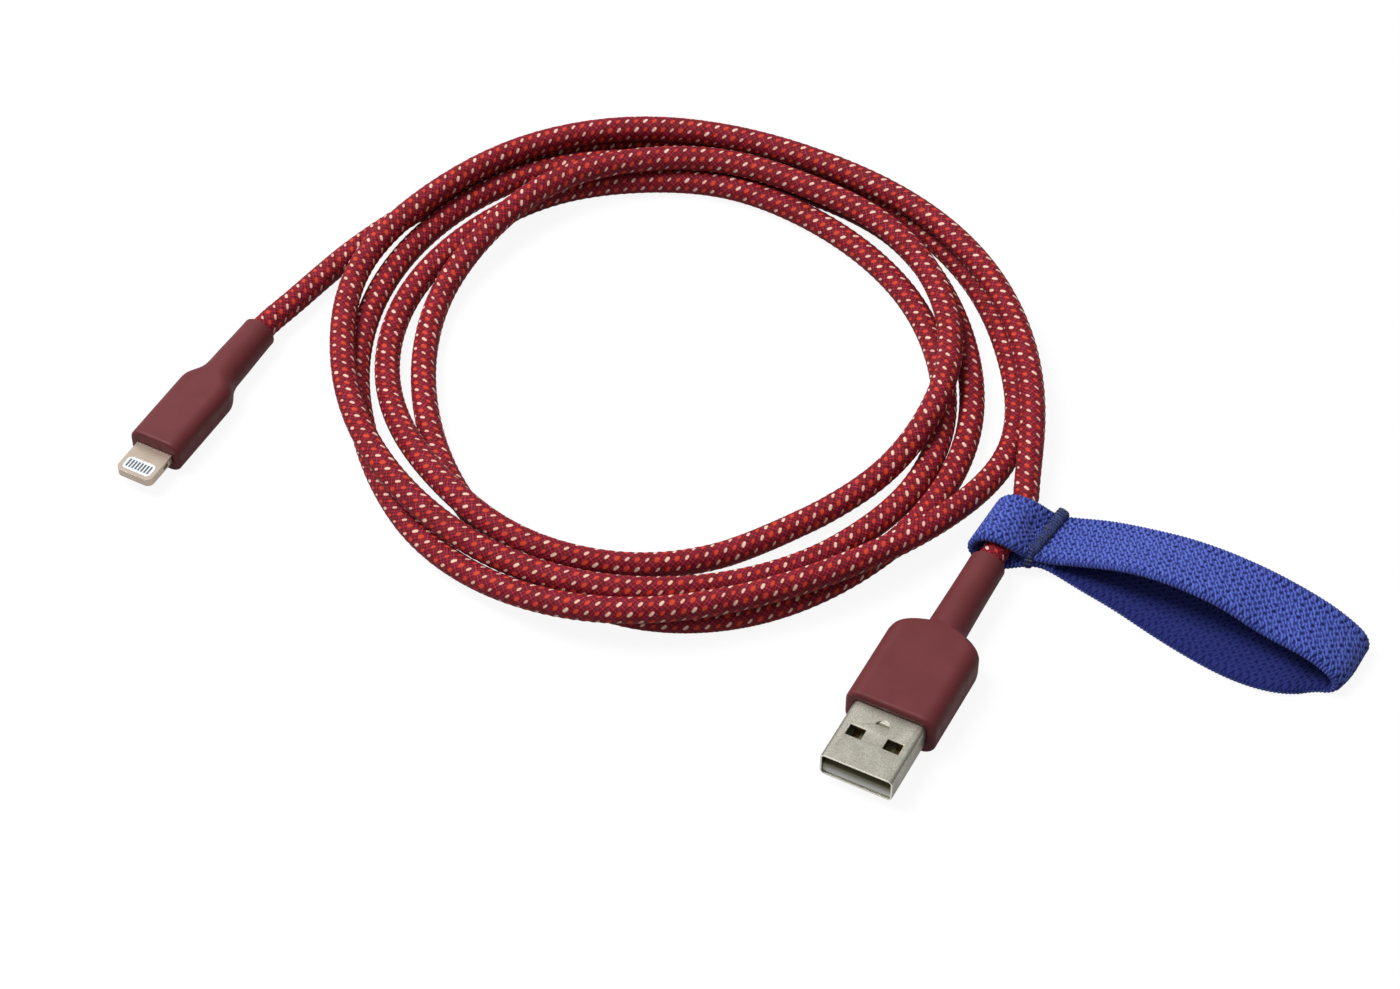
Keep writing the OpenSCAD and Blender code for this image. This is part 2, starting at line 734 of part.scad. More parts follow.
module device_inner_mould() {
    x0 = can_x0 + can_wall + fit_gap;
    color("ivory") in_device() difference() {
        bar(x0, device_blade_x - fit_gap, can_w - 2 * fit_gap, can_h - 2 * can_wall - 2 * fit_gap);
        bar(device_board_x - fit_gap, device_blade_x + through, board_w + 2 * fit_gap,
            board_t + 2 * fit_gap);
        bar(control_chip_x - control_chip_w - fit_gap, control_chip_x + fit_gap,
            control_chip_w + 2 * fit_gap, control_chip_h + 2 * fit_gap, control_chip_z);
        bar(protection_chip_x - protection_chip_w - fit_gap, protection_chip_x + fit_gap,
            protection_chip_w + 2 * fit_gap, protection_chip_h + 2 * fit_gap,
            protection_chip_z);
        for (i = [0 : 3])
            wire(device_wire_start(i), device_wire_end(i), wire_d + 2 * fit_gap);
    }
}

module device_wire(i) {
    color(wire_colours[i]) in_device() wire(device_wire_start(i), device_wire_end(i));
}

module device_grip() {
    color("brown") in_device() difference() {
        union() {
            rounded_bar(device_grip_x, device_front_x, device_grip_w, device_grip_t,
                        device_grip_corner);
            device_waist();
            rod(device_waist_x, device_grip_x, device_relief_d / 2);
            relief(device_waist_x, device_relief_end_d, device_relief_d);
        }
        rod(-through, device_sleeve_in + fit_gap, cord_d / 2 + fit_gap);
        rod(device_sleeve_in, can_x0 + through, wire_room_r);
        bar(can_x0 - fit_gap, can_x1 + fit_gap, can_w + 2 * can_wall + 2 * fit_gap,
            can_h + 2 * fit_gap);
        bar(device_blade_x, device_front_x + through, blade_w + 2 * fit_gap,
            blade_t + 2 * fit_gap);
    }
}

// The waist: it widens slowly out of the strain relief and then fast into the full grip
module device_waist() {
    last = len(waist_slabs) - 1;
    for (i = [0 : last]) {
        a = waist_slabs[i];
        b = i == last ? [device_waist_len, device_grip_w] : waist_slabs[i + 1];
        hull() {
            waist_slab(a);
            waist_slab(b);
        }
    }
}

// One thin slab of the waist, its corners rounder the narrower it is
module waist_slab(s) {
    x = device_waist_x + s[0];
    share = (s[1] - device_relief_d) / (device_grip_w - device_relief_d);
    corner = device_grip_corner + (device_relief_d / 2 - slab - device_grip_corner) * (1 - share);
    rounded_bar(x, x + slab, s[1], device_grip_t, corner, $fn = 32);
}

// ---------- strap ----------

module strap_collar() {
    color("royalblue") difference() {
        union() {
            in_charger()
                rod(collar_slide - collar_mid - band_w / 2, collar_slide - collar_mid + band_w / 2,
                    collar_r);
            in_strap() translate([0, tab_y, tab_z - tab_t / 2]) cube([tab_reach, band_w, tab_t]);
        }
        in_charger()
            rod(-collar_mid - band_w, -collar_mid + band_w, cord_d / 2 + collar_gap);
    }
}

module strap_stitching() {
    color("midnightblue") in_strap()
        for (i = [0 : stitch_count - 1])
            translate([stitch_x - stitch_l / 2,
                       tab_y + band_w / 2 + (i - (stitch_count - 1) / 2) * stitch_pitch,
                       tab_z + tab_t / 2 + stitch_d / 2 + stitch_gap])
                rod(0, stitch_l, stitch_d / 2, $fn = 16);
}

// A band layer whose side view is a ribbon, from one edge across the band's width
module band_from_side(line, edge_y) {
    translate([0, edge_y + band_w, 0]) rotate([90, 0, 0])
        linear_extrude(band_w) polygon(ribbon(line, band_t));
}

module strap_loop() {
    color("royalblue") in_strap() {
        band_from_side(upper_line, upper_edge_y);
        band_from_side(lower_line, start_edge_y);
        linear_extrude(band_t)
            polygon(concat(lower_edge,
                [for (i = [len(lower_edge) - 1 : -1 : 0]) lower_edge[i] + [0, band_w]]));
    }
}

charger_shell();
charger_insulator();
charger_contact(0);  // charger_contact_power
charger_contact(1);  // charger_contact_data_minus
charger_contact(2);  // charger_contact_data_plus
charger_contact(3);  // charger_contact_ground
charger_rear_shield();
charger_inner_mould();
charger_grip();
charger_wire(0);  // charger_wire_red
charger_wire(1);  // charger_wire_white
charger_wire(2);  // charger_wire_green
charger_wire(3);  // charger_wire_black
braided_sleeve();
inner_jacket();
device_blade_frame();
device_contact_insert();
device_contacts(1);  // device_contacts_upper
device_contacts(-1);  // device_contacts_lower
device_circuit_board();
device_control_chip();
device_protection_chip();
device_shield_can();
device_inner_mould();
device_grip();
device_wire(0);  // device_wire_red
device_wire(1);  // device_wire_white
device_wire(2);  // device_wire_green
device_wire(3);  // device_wire_black
strap_collar();
strap_stitching();
strap_loop();
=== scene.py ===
"""Braided charging cable in a loose coil, with a charger plug, a device plug and an elastic strap.

Only the table, the lamp, the camera's sight and the waves of a noise are in metres.
"""

from __future__ import annotations

import logging
import math
from dataclasses import dataclass, field
from enum import Enum
from typing import Any, Iterable, Sequence

import bmesh
import bpy
import numpy as np
from mathutils import Matrix, Vector


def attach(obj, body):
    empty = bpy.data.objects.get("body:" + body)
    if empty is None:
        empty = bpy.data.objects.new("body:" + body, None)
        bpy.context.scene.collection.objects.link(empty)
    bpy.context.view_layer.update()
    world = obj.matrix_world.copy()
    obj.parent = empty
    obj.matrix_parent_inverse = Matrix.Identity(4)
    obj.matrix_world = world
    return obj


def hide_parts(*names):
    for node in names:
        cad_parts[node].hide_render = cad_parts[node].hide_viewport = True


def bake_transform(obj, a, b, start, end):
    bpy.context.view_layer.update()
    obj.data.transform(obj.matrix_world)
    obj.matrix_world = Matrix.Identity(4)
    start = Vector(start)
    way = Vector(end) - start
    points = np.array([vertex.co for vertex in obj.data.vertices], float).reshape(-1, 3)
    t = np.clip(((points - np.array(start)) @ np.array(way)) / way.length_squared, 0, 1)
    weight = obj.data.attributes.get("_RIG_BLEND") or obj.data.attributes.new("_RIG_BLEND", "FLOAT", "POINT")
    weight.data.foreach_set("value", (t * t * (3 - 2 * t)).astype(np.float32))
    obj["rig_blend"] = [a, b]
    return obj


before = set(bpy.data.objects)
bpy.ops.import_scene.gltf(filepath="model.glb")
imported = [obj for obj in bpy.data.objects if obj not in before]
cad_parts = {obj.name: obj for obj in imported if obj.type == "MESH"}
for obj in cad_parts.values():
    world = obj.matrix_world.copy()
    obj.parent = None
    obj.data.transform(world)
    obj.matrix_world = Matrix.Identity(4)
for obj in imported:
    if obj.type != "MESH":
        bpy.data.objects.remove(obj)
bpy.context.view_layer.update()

LOG = logging.getLogger("charging_cable")
MM = 0.001
TINY = 1e-12
Colour = tuple[float, float, float, float]
Point = tuple[float, float, float]
Station = tuple[float, float, float, float]
WHITE: Colour = (1.0, 1.0, 1.0, 1.0)


class Body(Enum):
    """The three moving bodies of the cable."""

    CABLE = "cable"
    COLLAR = "collar"
    LOOP = "loop"


# ---------------------------------------------------------------- numbers


def tone(red: int, green: int, blue: int) -> Colour:
    """Turns a colour as a paint chart gives it into the linear colour that a shader takes.

    Args:
        red: Red from 0 to 255.
        green: Green from 0 to 255.
        blue: Blue from 0 to 255.

    Returns:
        Linear red, green and blue from 0 to 1, and an alpha of 1.
    """

    def linear(part: int) -> float:
        """Turns one part of the colour."""
        share = part / 255
        return share / 12.92 if share <= 0.04045 else ((share + 0.055) / 1.055) ** 2.4

    return (linear(red), linear(green), linear(blue), 1.0)


def unit_rows(rows: np.ndarray) -> np.ndarray:
    """Scales each row of an array to length 1."""
    return rows / np.maximum(np.linalg.norm(rows, axis=1, keepdims=True), TINY)


def bell(values: np.ndarray, middle: float, reach: float) -> np.ndarray:
    """Gives a bell curve, 1 at its middle and about a third at its reach."""
    return np.exp(-(((values - middle) / reach) ** 2))


def hermite(t: Any, gap: Any, low: Any, high: Any, leaving: Any, arriving: Any) -> Any:
    """Reads one stretch of a cubic curve.

    Args:
        t: Share of the stretch, from 0 to 1.
        gap: Length of the stretch.
        low: Where it starts.
        high: Where it ends.
        leaving: Direction and speed at its start.
        arriving: Direction and speed at its end.

    Returns:
        The place on the curve.
    """
    return (
        (2 * t**3 - 3 * t**2 + 1) * low
        + (t**3 - 2 * t**2 + t) * gap * leaving
        + (3 * t**2 - 2 * t**3) * high
        + (t**3 - t**2) * gap * arriving
    )


def cubic_through(
    knots: np.ndarray,
    points: np.ndarray,
    at: np.ndarray,
    start: np.ndarray | None = None,
    end: np.ndarray | None = None,
    ring: bool = False,
) -> np.ndarray:
    """Runs one smooth cubic spline through points.

    Args:
        knots: Place of each point along the curve, rising; a ring has one more, its closing length.
        points: The points, one a row; a ring doesn't repeat its first point.
        at: Places along the curve to read.
        start: Direction and speed at the first point, or None for a free end.
        end: Direction and speed at the last point, or None for a free end.
        ring: True if the curve closes on itself.

    Returns:
        The points of the curve at those places, one a row.
    """
    values = np.vstack([points, points[:1]]) if ring else points
    count = len(values)
    gaps = np.diff(knots)[:, None]
    slopes = np.diff(values, axis=0) / gaps
    matrix = np.zeros((count, count))
    right = np.zeros_like(values, dtype=float)
    for i in range(1, count - 1):
        matrix[i, i - 1 : i + 2] = [gaps[i, 0], 2 * (gaps[i - 1, 0] + gaps[i, 0]), gaps[i - 1, 0]]
        right[i] = 3 * (gaps[i] * slopes[i - 1] + gaps[i - 1] * slopes[i])
    if ring:
        matrix[0, 0], matrix[0, -1] = 1, -1
        matrix[-1, 0:2] = [2 * gaps[-1, 0], gaps[-1, 0]]
        matrix[-1, -2:] = [gaps[0, 0], 2 * gaps[0, 0]]
        right[-1] = 3 * (gaps[0] * slopes[-1] + gaps[-1] * slopes[0])
    else:
        matrix[0, 0:2] = [1, 0] if start is not None else [2, 1]
        right[0] = start if start is not None else 3 * slopes[0]
        matrix[-1, -2:] = [0, 1] if end is not None else [1, 2]
        right[-1] = end if end is not None else 3 * slopes[-1]
    speeds = np.linalg.solve(matrix, right)
    where = np.clip(np.searchsorted(knots, at, side="right") - 1, 0, count - 2)
    gap = gaps[where]
    t = (at[:, None] - np.asarray(knots)[where][:, None]) / gap
    return hermite(t, gap, values[where], values[where + 1], speeds[where], speeds[where + 1])


def running_length(points: np.ndarray) -> np.ndarray:
    """Gives the length along a line of points at each of them."""
    return np.r_[0, np.cumsum(np.linalg.norm(np.diff(points, axis=0), axis=1))]


def even_steps(points: np.ndarray, step: float) -> np.ndarray:
    """Reads a dense line again at even steps.

    Args:
        points: A dense line of points; columns after the first three are carried along.
        step: The wanted step, which is rounded to fit the length.

    Returns:
        The line at even steps, both ends among them.
    """
    length = running_length(points[:, :3])
    at = np.linspace(0, length[-1], int(round(length[-1] / step)) + 1)
    return np.stack([np.interp(at, length, column) for column in points.T], axis=1)


def square_to(line: np.ndarray, toward: Point) -> tuple[np.ndarray, np.ndarray]:
    """Gives two directions square to a line of points at each of them.

    Args:
        line: The points, one a row.
        toward: Where the first direction leans.

    Returns:
        The direction square to the line that is nearest to toward, and the one square to both.
    """
    along = unit_rows(np.gradient(line, axis=0))
    first = unit_rows(np.cross(along, np.cross(toward, along)))
    return first, np.cross(first, along)


def smooth_profile(keys: Sequence[Sequence[float]], step: float) -> list[list[float]]:
    """Fills in a profile between its key rows without overshoot.

    Args:
        keys: Rows whose first number rises; the others are carried along.
        step: The largest step of the first number.

    Returns:
        The rows of the whole profile.
    """
    table = np.array(keys, float)
    x, rows = table[:, 0], table[:, 1:]
    slopes = np.diff(rows, axis=0) / np.diff(x)[:, None]
    speeds = np.zeros_like(rows)
    same = slopes[:-1] * slopes[1:] > 0
    with np.errstate(divide="ignore", invalid="ignore"):
        mean = 2 * slopes[:-1] * slopes[1:] / (slopes[:-1] + slopes[1:])
    speeds[1:-1] = np.where(same, mean, 0)
    filled: list[list[float]] = []
    for i, gap in enumerate(np.diff(x)):
        steps = max(1, math.ceil(gap / step))
        for t in np.arange(steps) / steps:
            row = hermite(t, gap, rows[i], rows[i + 1], speeds[i], speeds[i + 1])
            filled.append([x[i] + t * gap, *row])
    filled.append(list(table[-1]))
    return filled


def ring_section(half_w: float, half_h: float, corner: float, count: int) -> np.ndarray:
    """Walks once round a rectangle with round corners.

    Args:
        half_w: Half the width.
        half_h: Half the height.
        corner: Corner radius, up to the smaller half.
        count: Number of points.

    Returns:
        The points, [across, up], one a row.
    """
    angle = 2 * np.pi * (np.arange(count) + 0.5) / count
    way = unit_rows(np.stack([half_w * np.cos(angle), half_h * np.sin(angle)], axis=1))
    flat = np.maximum(np.abs(way), TINY)
    to_side, to_top = half_w / flat[:, 0], half_h / flat[:, 1]
    radius = min(corner, half_w, half_h)
    centre = np.array([half_w - radius, half_h - radius])
    along = flat @ centre
    to_arc = along + np.sqrt(np.maximum(along**2 - centre @ centre + radius**2, 0))
    reach = np.where(
        to_side * flat[:, 1] <= centre[1],
        to_side,
        np.where(to_top * flat[:, 0] <= centre[0], to_top, to_arc),
    )
    return way * reach[:, None]


# ---------------------------------------------------------------- meshes


def grid_faces(rows: int, columns: int, close_rows: bool) -> np.ndarray:
    """Joins rings of points into faces; each ring is closed.

    Args:
        rows: Number of rings.
        columns: Number of points in a ring.
        close_rows: True if the last ring joins the first.

    Returns:
        Four point numbers for each face.
    """
    i = np.arange(rows if close_rows else rows - 1)[:, None]
    k = np.arange(columns)[None, :]
    after_i, after_k = (i + 1) % rows, (k + 1) % columns
    return np.stack(
        [i * columns + k, after_i * columns + k, after_i * columns + after_k, i * columns + after_k],
        axis=-1,
    ).reshape(-1, 4)


def add_piece(
    name: str, mesh: bpy.types.Mesh, body: Body | None, crease: float | None
) -> bpy.types.Object:
    """Adds a finished mesh to the scene as one smooth piece.

    Args:
        name: The piece's name.
        mesh: Its mesh.
        body: The body that carries the piece, or None for one that bends between two.
        crease: Angle in degrees from which an edge stays sharp, or None for smooth all over.

    Returns:
        The new object.
    """
    mesh.shade_smooth()
    if crease is not None:
        mesh.set_sharp_from_angle(angle=math.radians(crease))
    piece = bpy.data.objects.new(name, mesh)
    bpy.context.scene.collection.objects.link(piece)
    if body is not None:
        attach(piece, body.value)
    return piece


def make_piece(
    name: str,
    points: np.ndarray,
    faces: Iterable[Sequence[int]],
    body: Body | None,
    crease: float | None = None,
) -> bpy.types.Object:
    """Makes one piece from points in millimetres in the part's frame.

    Args:
        name: The piece's name.
        points: One point a row.
        faces: Point numbers of each face.
        body: The body that carries the piece, or None for one that bends between two.
        crease: Angle in degrees from which an edge stays sharp, or None for smooth all over.

    Returns:
        The new object.
    """
    mesh = bpy.data.meshes.new(name)
    mesh.from_pydata((points * MM).tolist(), [], [list(map(int, f)) for f in faces])
    mesh.validate()
    return add_piece(name, mesh, body, crease)


@dataclass(frozen=True)
class EdgeBreaker:
    """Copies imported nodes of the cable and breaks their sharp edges, as on tumbled or moulded parts."""

    weld: float = 0.002
    flat_angle: float = 2.0
    edge_angle: float = 30.0
    crease: float = 12.0

    def copy(self, node: str, name: str, width: float, faces: int) -> bpy.types.Object:
        """Makes one copy.

        Args:
            node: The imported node.
            name: Name of the new piece.
            width: Size of the broken edge, in millimetres.
            faces: Number of faces across the broken edge.

        Returns:
            The new object, which stands for the node.
        """
        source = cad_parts[node]
        shape = bmesh.new()
        shape.from_mesh(source.data)
        shape.transform(source.matrix_world)
        bmesh.ops.remove_doubles(shape, verts=shape.verts, dist=self.weld * MM)
        bmesh.ops.dissolve_limit(
            shape, angle_limit=math.radians(self.flat_angle), verts=shape.verts, edges=shape.edges
        )
        least = math.radians(self.edge_angle)
        sharp = [e for e in shape.edges if len(e.link_faces) == 2 and e.calc_face_angle(0) > least]
        bmesh.ops.bevel(
            shape, geom=sharp, offset=width * MM, offset_type="OFFSET", segments=faces,
            profile=0.5, affect="EDGES", clamp_overlap=True,
        )
        bmesh.ops.recalc_face_normals(shape, faces=shape.faces)
        mesh = bpy.data.meshes.new(name)
        shape.to_mesh(mesh)
        shape.free()
        piece = add_piece(name, mesh, Body.CABLE, self.crease)
        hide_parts(node)
        return piece


def store_on_grid(
    piece: bpy.types.Object, name: str, table: np.ndarray, flipped: bool = False
) -> None:
    """Stores three numbers at each face corner of rings, without a jump where a ring closes.

    Args:
        piece: A piece whose first faces come from grid_faces.
        name: Name of the attribute that a finish reads.
        table: The numbers of each ring and point, with one more of both where the grid ends.
        flipped: True if the faces were turned to face the other way.
    """
    rows, columns = table.shape[0] - 1, table.shape[1] - 1
    i, k = np.meshgrid(np.arange(rows), np.arange(columns), indexing="ij")
    rings = np.stack([i, i + 1, i + 1, i], axis=-1)
    places = np.stack([k, k, k + 1, k + 1], axis=-1)
    if flipped:
        rings, places = rings[..., ::-1], places[..., ::-1]
    values = np.zeros((len(piece.data.loops), 3))
    values[: rings.size] = table[rings, places].reshape(-1, 3)
    layer = piece.data.attributes.new(name, "FLOAT_VECTOR", "CORNER")
    layer.data.foreach_set("vector", values.astype(np.float32).ravel())


# ---------------------------------------------------------------- nodes


class Value:
    """A number or colour that nodes work out, so that a finish reads as a formula."""

    def __init__(self, sheet: NodeSheet, socket: bpy.types.NodeSocket) -> None:
        """Keeps the socket, and the sheet that its next nodes go on."""
        self.sheet = sheet
        self.socket = socket

    def __add__(self, other: Value | float) -> Value:
        """Adds."""
        return self.sheet.maths("ADD", self, other)

    def __sub__(self, other: Value | float) -> Value:
        """Subtracts."""
        return self.sheet.maths("SUBTRACT", self, other)

    def __rsub__(self, other: float) -> Value:
        """Subtracts it from a plain number."""
        return self.sheet.maths("SUBTRACT", other, self)

    def __mul__(self, other: Value | float) -> Value:
        """Multiplies."""
        return self.sheet.maths("MULTIPLY", self, other)

    def __truediv__(self, other: Value | float) -> Value:
        """Divides."""
        return self.sheet.maths("DIVIDE", self, other)

    def __pow__(self, power: float) -> Value:
        """Raises to a power."""
        return self.sheet.maths("POWER", self, power)

    def __abs__(self) -> Value:
        """Drops the sign."""
        return self.sheet.maths("ABSOLUTE", self)

    def nearest(self) -> Value:
        """Rounds to the nearest whole number."""
        return self.sheet.maths("ROUND", self)

    def off(self) -> Value:
        """Gives what is left over past the nearest whole number."""
        return self - self.nearest()

    def wrapped(self) -> Value:
        """Brings it between -1 and 1 by whole twos."""
        return self.sheet.maths("WRAP", self, 1.0, -1.0)

    def odd(self) -> Value:
        """Gives 1 for an odd whole number and 0 for an even one."""
        return self.sheet.maths("PINGPONG", self, 1.0)

    def wave(self, count: float = 1.0) -> Value:
        """Gives a cosine that runs through count waves while the value grows by 1."""
        return self.sheet.maths("COSINE", self * (2 * math.pi * count))

    def most(self, other: Value) -> Value:
        """Takes the larger of the two."""
        return self.sheet.maths("MAXIMUM", self, other)

    def fade(self, low: float, high: float, start: float = 0.0, end: float = 1.0) -> Value:
        """Fades smoothly from one number to another while the value crosses a span.

        Args:
            low: Where the span starts.
            high: Where it ends.
            start: The number at low and before it.
            end: The number at high and past it.

        Returns:
            The faded number.
        """
        made = self.sheet.node(
            "MapRange", {"interpolation_type": "SMOOTHSTEP"}, Value=self, From_Min=low,
            From_Max=high, To_Min=start, To_Max=end,
        )
        return Value(self.sheet, made.outputs["Result"])


class NodeSheet:
    """Builds the nodes of one material, or of the sky, from short calls."""

    CHANCE_SEED = 3.0
    MIX_SHARE, MIX_FIRST, MIX_SECOND, MIX_RESULT = 0, 6, 7, 2

    def __init__(self, owner: bpy.types.Material | bpy.types.World) -> None:
        """Empties the owner's nodes and starts with none."""
        owner.use_nodes = True
        self.owner = owner
        self.tree = owner.node_tree
        self.tree.nodes.clear()

    @classmethod
    def of_material(cls, name: str) -> NodeSheet:
        """Starts a new material of that name."""
        return cls(bpy.data.materials.new(name))

    def node(self, kind: str, settings: dict[str, Any] | None = None, **inputs: Any) -> Any:
        """Adds a node.

        Args:
            kind: The node's type without its common start.
            settings: Properties of the node.
            **inputs: Numbers, colours or sockets for its inputs; an underscore stands for a space.

        Returns:
            The node.
        """
        made = self.tree.nodes.new("ShaderNode" + kind)
        for key, value in (settings or {}).items():
            setattr(made, key, value)
        for key, value in inputs.items():
            self.feed(made.inputs[key.replace("_", " ")], value)
        return made

    def feed(self, target: bpy.types.NodeSocket, value: Any) -> None:
        """Links a value or a socket to an input, or sets a plain number or colour there."""
        if isinstance(value, Value):
            value = value.socket
        if isinstance(value, bpy.types.NodeSocket):
            self.tree.links.new(value, target)
        else:
            target.default_value = value

    def maths(self, operation: str, *terms: Value | float) -> Value:
        """Adds a maths node.

        Args:
            operation: The operation.
            *terms: What it works on, in order.

        Returns:
            The result.
        """
        made = self.node("Math", {"operation": operation})
        for target, term in zip(made.inputs, terms):
            self.feed(target, term)
        return Value(self, made.outputs[0])

    def mix(
        self, share: Value | float, first: Value | Colour, second: Value | Colour
    ) -> Value:
        """Mixes two colours.

        Args:
            share: 0 for the first colour to 1 for the second.
            first: The first colour.
            second: The second colour.

        Returns:
            The mixed colour.
        """
        made = self.node("Mix", {"data_type": "RGBA"})
        self.feed(made.inputs[self.MIX_SHARE], share)
        self.feed(made.inputs[self.MIX_FIRST], first)
        self.feed(made.inputs[self.MIX_SECOND], second)
        return Value(self, made.outputs[self.MIX_RESULT])

    def place(self) -> Any:
        """Returns the place on the object, in metres in the object's own frame."""
        return self.node("TexCoord").outputs["Object"]

    def height(self) -> Value:
        """Returns the height over the table, in metres."""
        return Value(self, self.node("SeparateXYZ", Vector=self.place()).outputs["Z"])

    def noise(self, scale: float, detail: float = 2, rough: float = 0.5) -> Value:
        """Returns soft random numbers from 0 to 1.

        Args:
            scale: Waves per metre.
            detail: Number of finer layers.
            rough: How strong the finer layers are.

        Returns:
            The number.
        """
        made = self.node(
            "TexNoise", Vector=self.place(), Scale=scale, Detail=detail, Roughness=rough
        )
        return Value(self, made.outputs[0])

    def chance(self, first: Value, second: Value) -> Value:
        """Returns a random number from 0 to 1 that stays the same for each pair of numbers."""
        pair = self.node("CombineXYZ", X=first, Y=second, Z=self.CHANCE_SEED)
        made = self.node("TexWhiteNoise", {"noise_dimensions": "3D"}, Vector=pair.outputs[0])
        return Value(self, made.outputs["Value"])

    def running(self, name: str) -> list[Value]:
        """Returns the three numbers that a mesh stores at its corners under that name."""
        stored = self.node("Attribute", {"attribute_name": name})
        parts = self.node("SeparateXYZ", Vector=stored.outputs["Vector"])
        return [Value(self, part) for part in parts.outputs]

    def bump(self, height: Value, depth: float, strength: float) -> Any:
        """Returns a normal that stands for a fine height.

        Args:
            height: The height from 0 to 1.
            depth: What 1 stands for, in millimetres.
            strength: How much of it shows.

        Returns:
            The normal's socket.
        """
        made = self.node("Bump", Height=height, Distance=depth * MM, Strength=strength)
        return made.outputs["Normal"]

    def layers(self, share: Any, first: Any, second: Any) -> Any:
        """Mixes two shader nodes and returns the shader node that shows the mixture."""
        made = self.node("MixShader")
        for target, value in zip(made.inputs, (share, first.outputs[0], second.outputs[0])):
            self.feed(target, value)
        return made

    def end(self, kind: str, shader: Any) -> None:
        """Ends the sheet: the output node of that kind shows the shader node."""
        self.node(kind, Surface=shader.outputs[0])

    def surface(self, **inputs: Any) -> bpy.types.Material:
        """Ends a material's sheet with one principled surface and returns the material."""
        self.end("OutputMaterial", self.node("BsdfPrincipled", **inputs))
        return self.owner


# ---------------------------------------------------------------- finishes


def dress(
    piece: bpy.types.Object, material: bpy.types.Material
) -> bpy.types.Object:
    """Gives a new piece its material.

    Args:
        piece: A new piece.
        material: Its material.

    Returns:
        The piece.
    """
    piece.data.materials.clear()
    piece.data.materials.append(material)
    return piece


def dress_node(node: str, material: bpy.types.Material) -> None:
    """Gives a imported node, which stays as it is, a better material."""
    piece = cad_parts[node]
    if not piece.material_slots:
        piece.data.materials.append(material)
    for place in piece.material_slots:
        place.material = material


@dataclass(frozen=True)
class BraidFinish:
    """Woven yarns: cream and orange flecks on burgundy, in a plain one-over-one braid, with painted shade in
    the gaps between yarns, the grooves between plies and the dips where yarns cross under.
    """

    cream: Colour = tone(232, 206, 184)
    orange: Colour = tone(200, 68, 38)
    red: Colour = tone(190, 30, 44)
    burgundy: Colour = tone(162, 22, 42)
    magenta: Colour = tone(184, 36, 62)
    # gap is the colour of the painted shade between and under the yarns.
    gap: Colour = tone(34, 2, 8)
    cream_half_width: float = 0.21
    orange_extra: float = 0.05
    fleck_half_length: float = 0.4
    least_fleck: float = 0.85
    fleck_spread: float = 0.3
    plies: int = 3
    ply_shade: float = 0.35
    crossings: int = 2
    crossing_shade: float = 0.76
    edge_shade: float = 0.5
    relief: float = 0.6

    def build(self) -> bpy.types.Material:
        """Returns the material; it reads the running numbers of the weave."""
        s = NodeSheet.of_material("braided_yarn")
        u, v, _ = s.running("weave")
        a, b = u + v, u - v
        n, m = a.nearest(), b.nearest()
        across_s, along_s = a - n, (b - n).wrapped()
        across_z, along_z = b - m, (a - m - 1.0).wrapped()
        on_top = (abs(along_s) - abs(along_z)).fade(-0.05, 0.05, 1, 0)
        chance = s.chance(n, m)
        # The crossing dips, where a yarn goes under the next one: the bump's low places, which also get
        # painted shade.
        grain = (a.wave(self.crossings) + b.wave(self.crossings)).fade(
            -1.0, 1.3, self.crossing_shade, 0.0
        )
        plies_s, plies_z = across_s.wave(self.plies), across_z.wave(self.plies)

        warm = s.mix(chance.fade(0.2, 0.8), self.burgundy, self.red)
        cross = s.mix(chance.fade(0.1, 0.9), self.burgundy, self.magenta)
        ground = s.mix(on_top, cross, warm)
        # Painted shade: the ground darkens toward gap in the grooves between plies, in the crossing dips and
        # at the yarns' edges.
        ply_share = s.mix(on_top, plies_z, plies_s).fade(-1.0, 1.0)
        ground = s.mix(ply_share, s.mix(self.ply_shade, ground, self.gap), ground)
        ground = s.mix(grain, ground, self.gap)
        edge = s.mix(on_top, abs(across_z).fade(0.36, 0.5), abs(across_s).fade(0.40, 0.5)).most(
            s.mix(on_top, abs(along_z).fade(0.55, 0.75), abs(along_s).fade(0.55, 0.75))
        )
        ground = s.mix(edge * self.edge_shade, ground, self.gap)

        bright = s.mix(n.odd(), self.cream, self.orange)
        bright = s.mix(chance.fade(0.9, 0.1, 0.0, 0.3), bright, self.red)
        # Painted shade in red, in the grooves between a fleck's plies.
        bright = s.mix(plies_s.fade(0.3, -1.0) * self.ply_shade, bright, self.red)
        colour = s.mix(self.fleck(n, chance, across_s, along_s) * on_top, ground, bright)
        height = s.noise(5200) - grain * self.relief
        return s.surface(
            Base_Color=colour, Roughness=0.7, Normal=s.bump(height, 0.05, 0.8),
            Sheen_Weight=0.02, Sheen_Roughness=0.5, Specular_IOR_Level=0.22,
        )

    def fleck(self, yarn: Value, chance: Value, across: Value, along: Value) -> Value:
        """Gives 1 on a fleck, which is a rounded box on its yarn, and 0 off it.

        Args:
            yarn: Number of the yarn.
            chance: The fleck's own random number.
            across: Place across the yarn, 0 in the middle.
            along: Place along the yarn, 0 where it lies on top.

        Returns:
            The fleck's share.
        """
        size = chance * self.fleck_spread + self.least_fleck
        half_width = size * (yarn.odd() * self.orange_extra + self.cream_half_width)
        half_length = size * self.fleck_half_length
        box = (abs(across) / half_width) ** 3.0 + (abs(along) / half_length) ** 4.0
        return box.fade(0.75, 1.25, 1, 0)


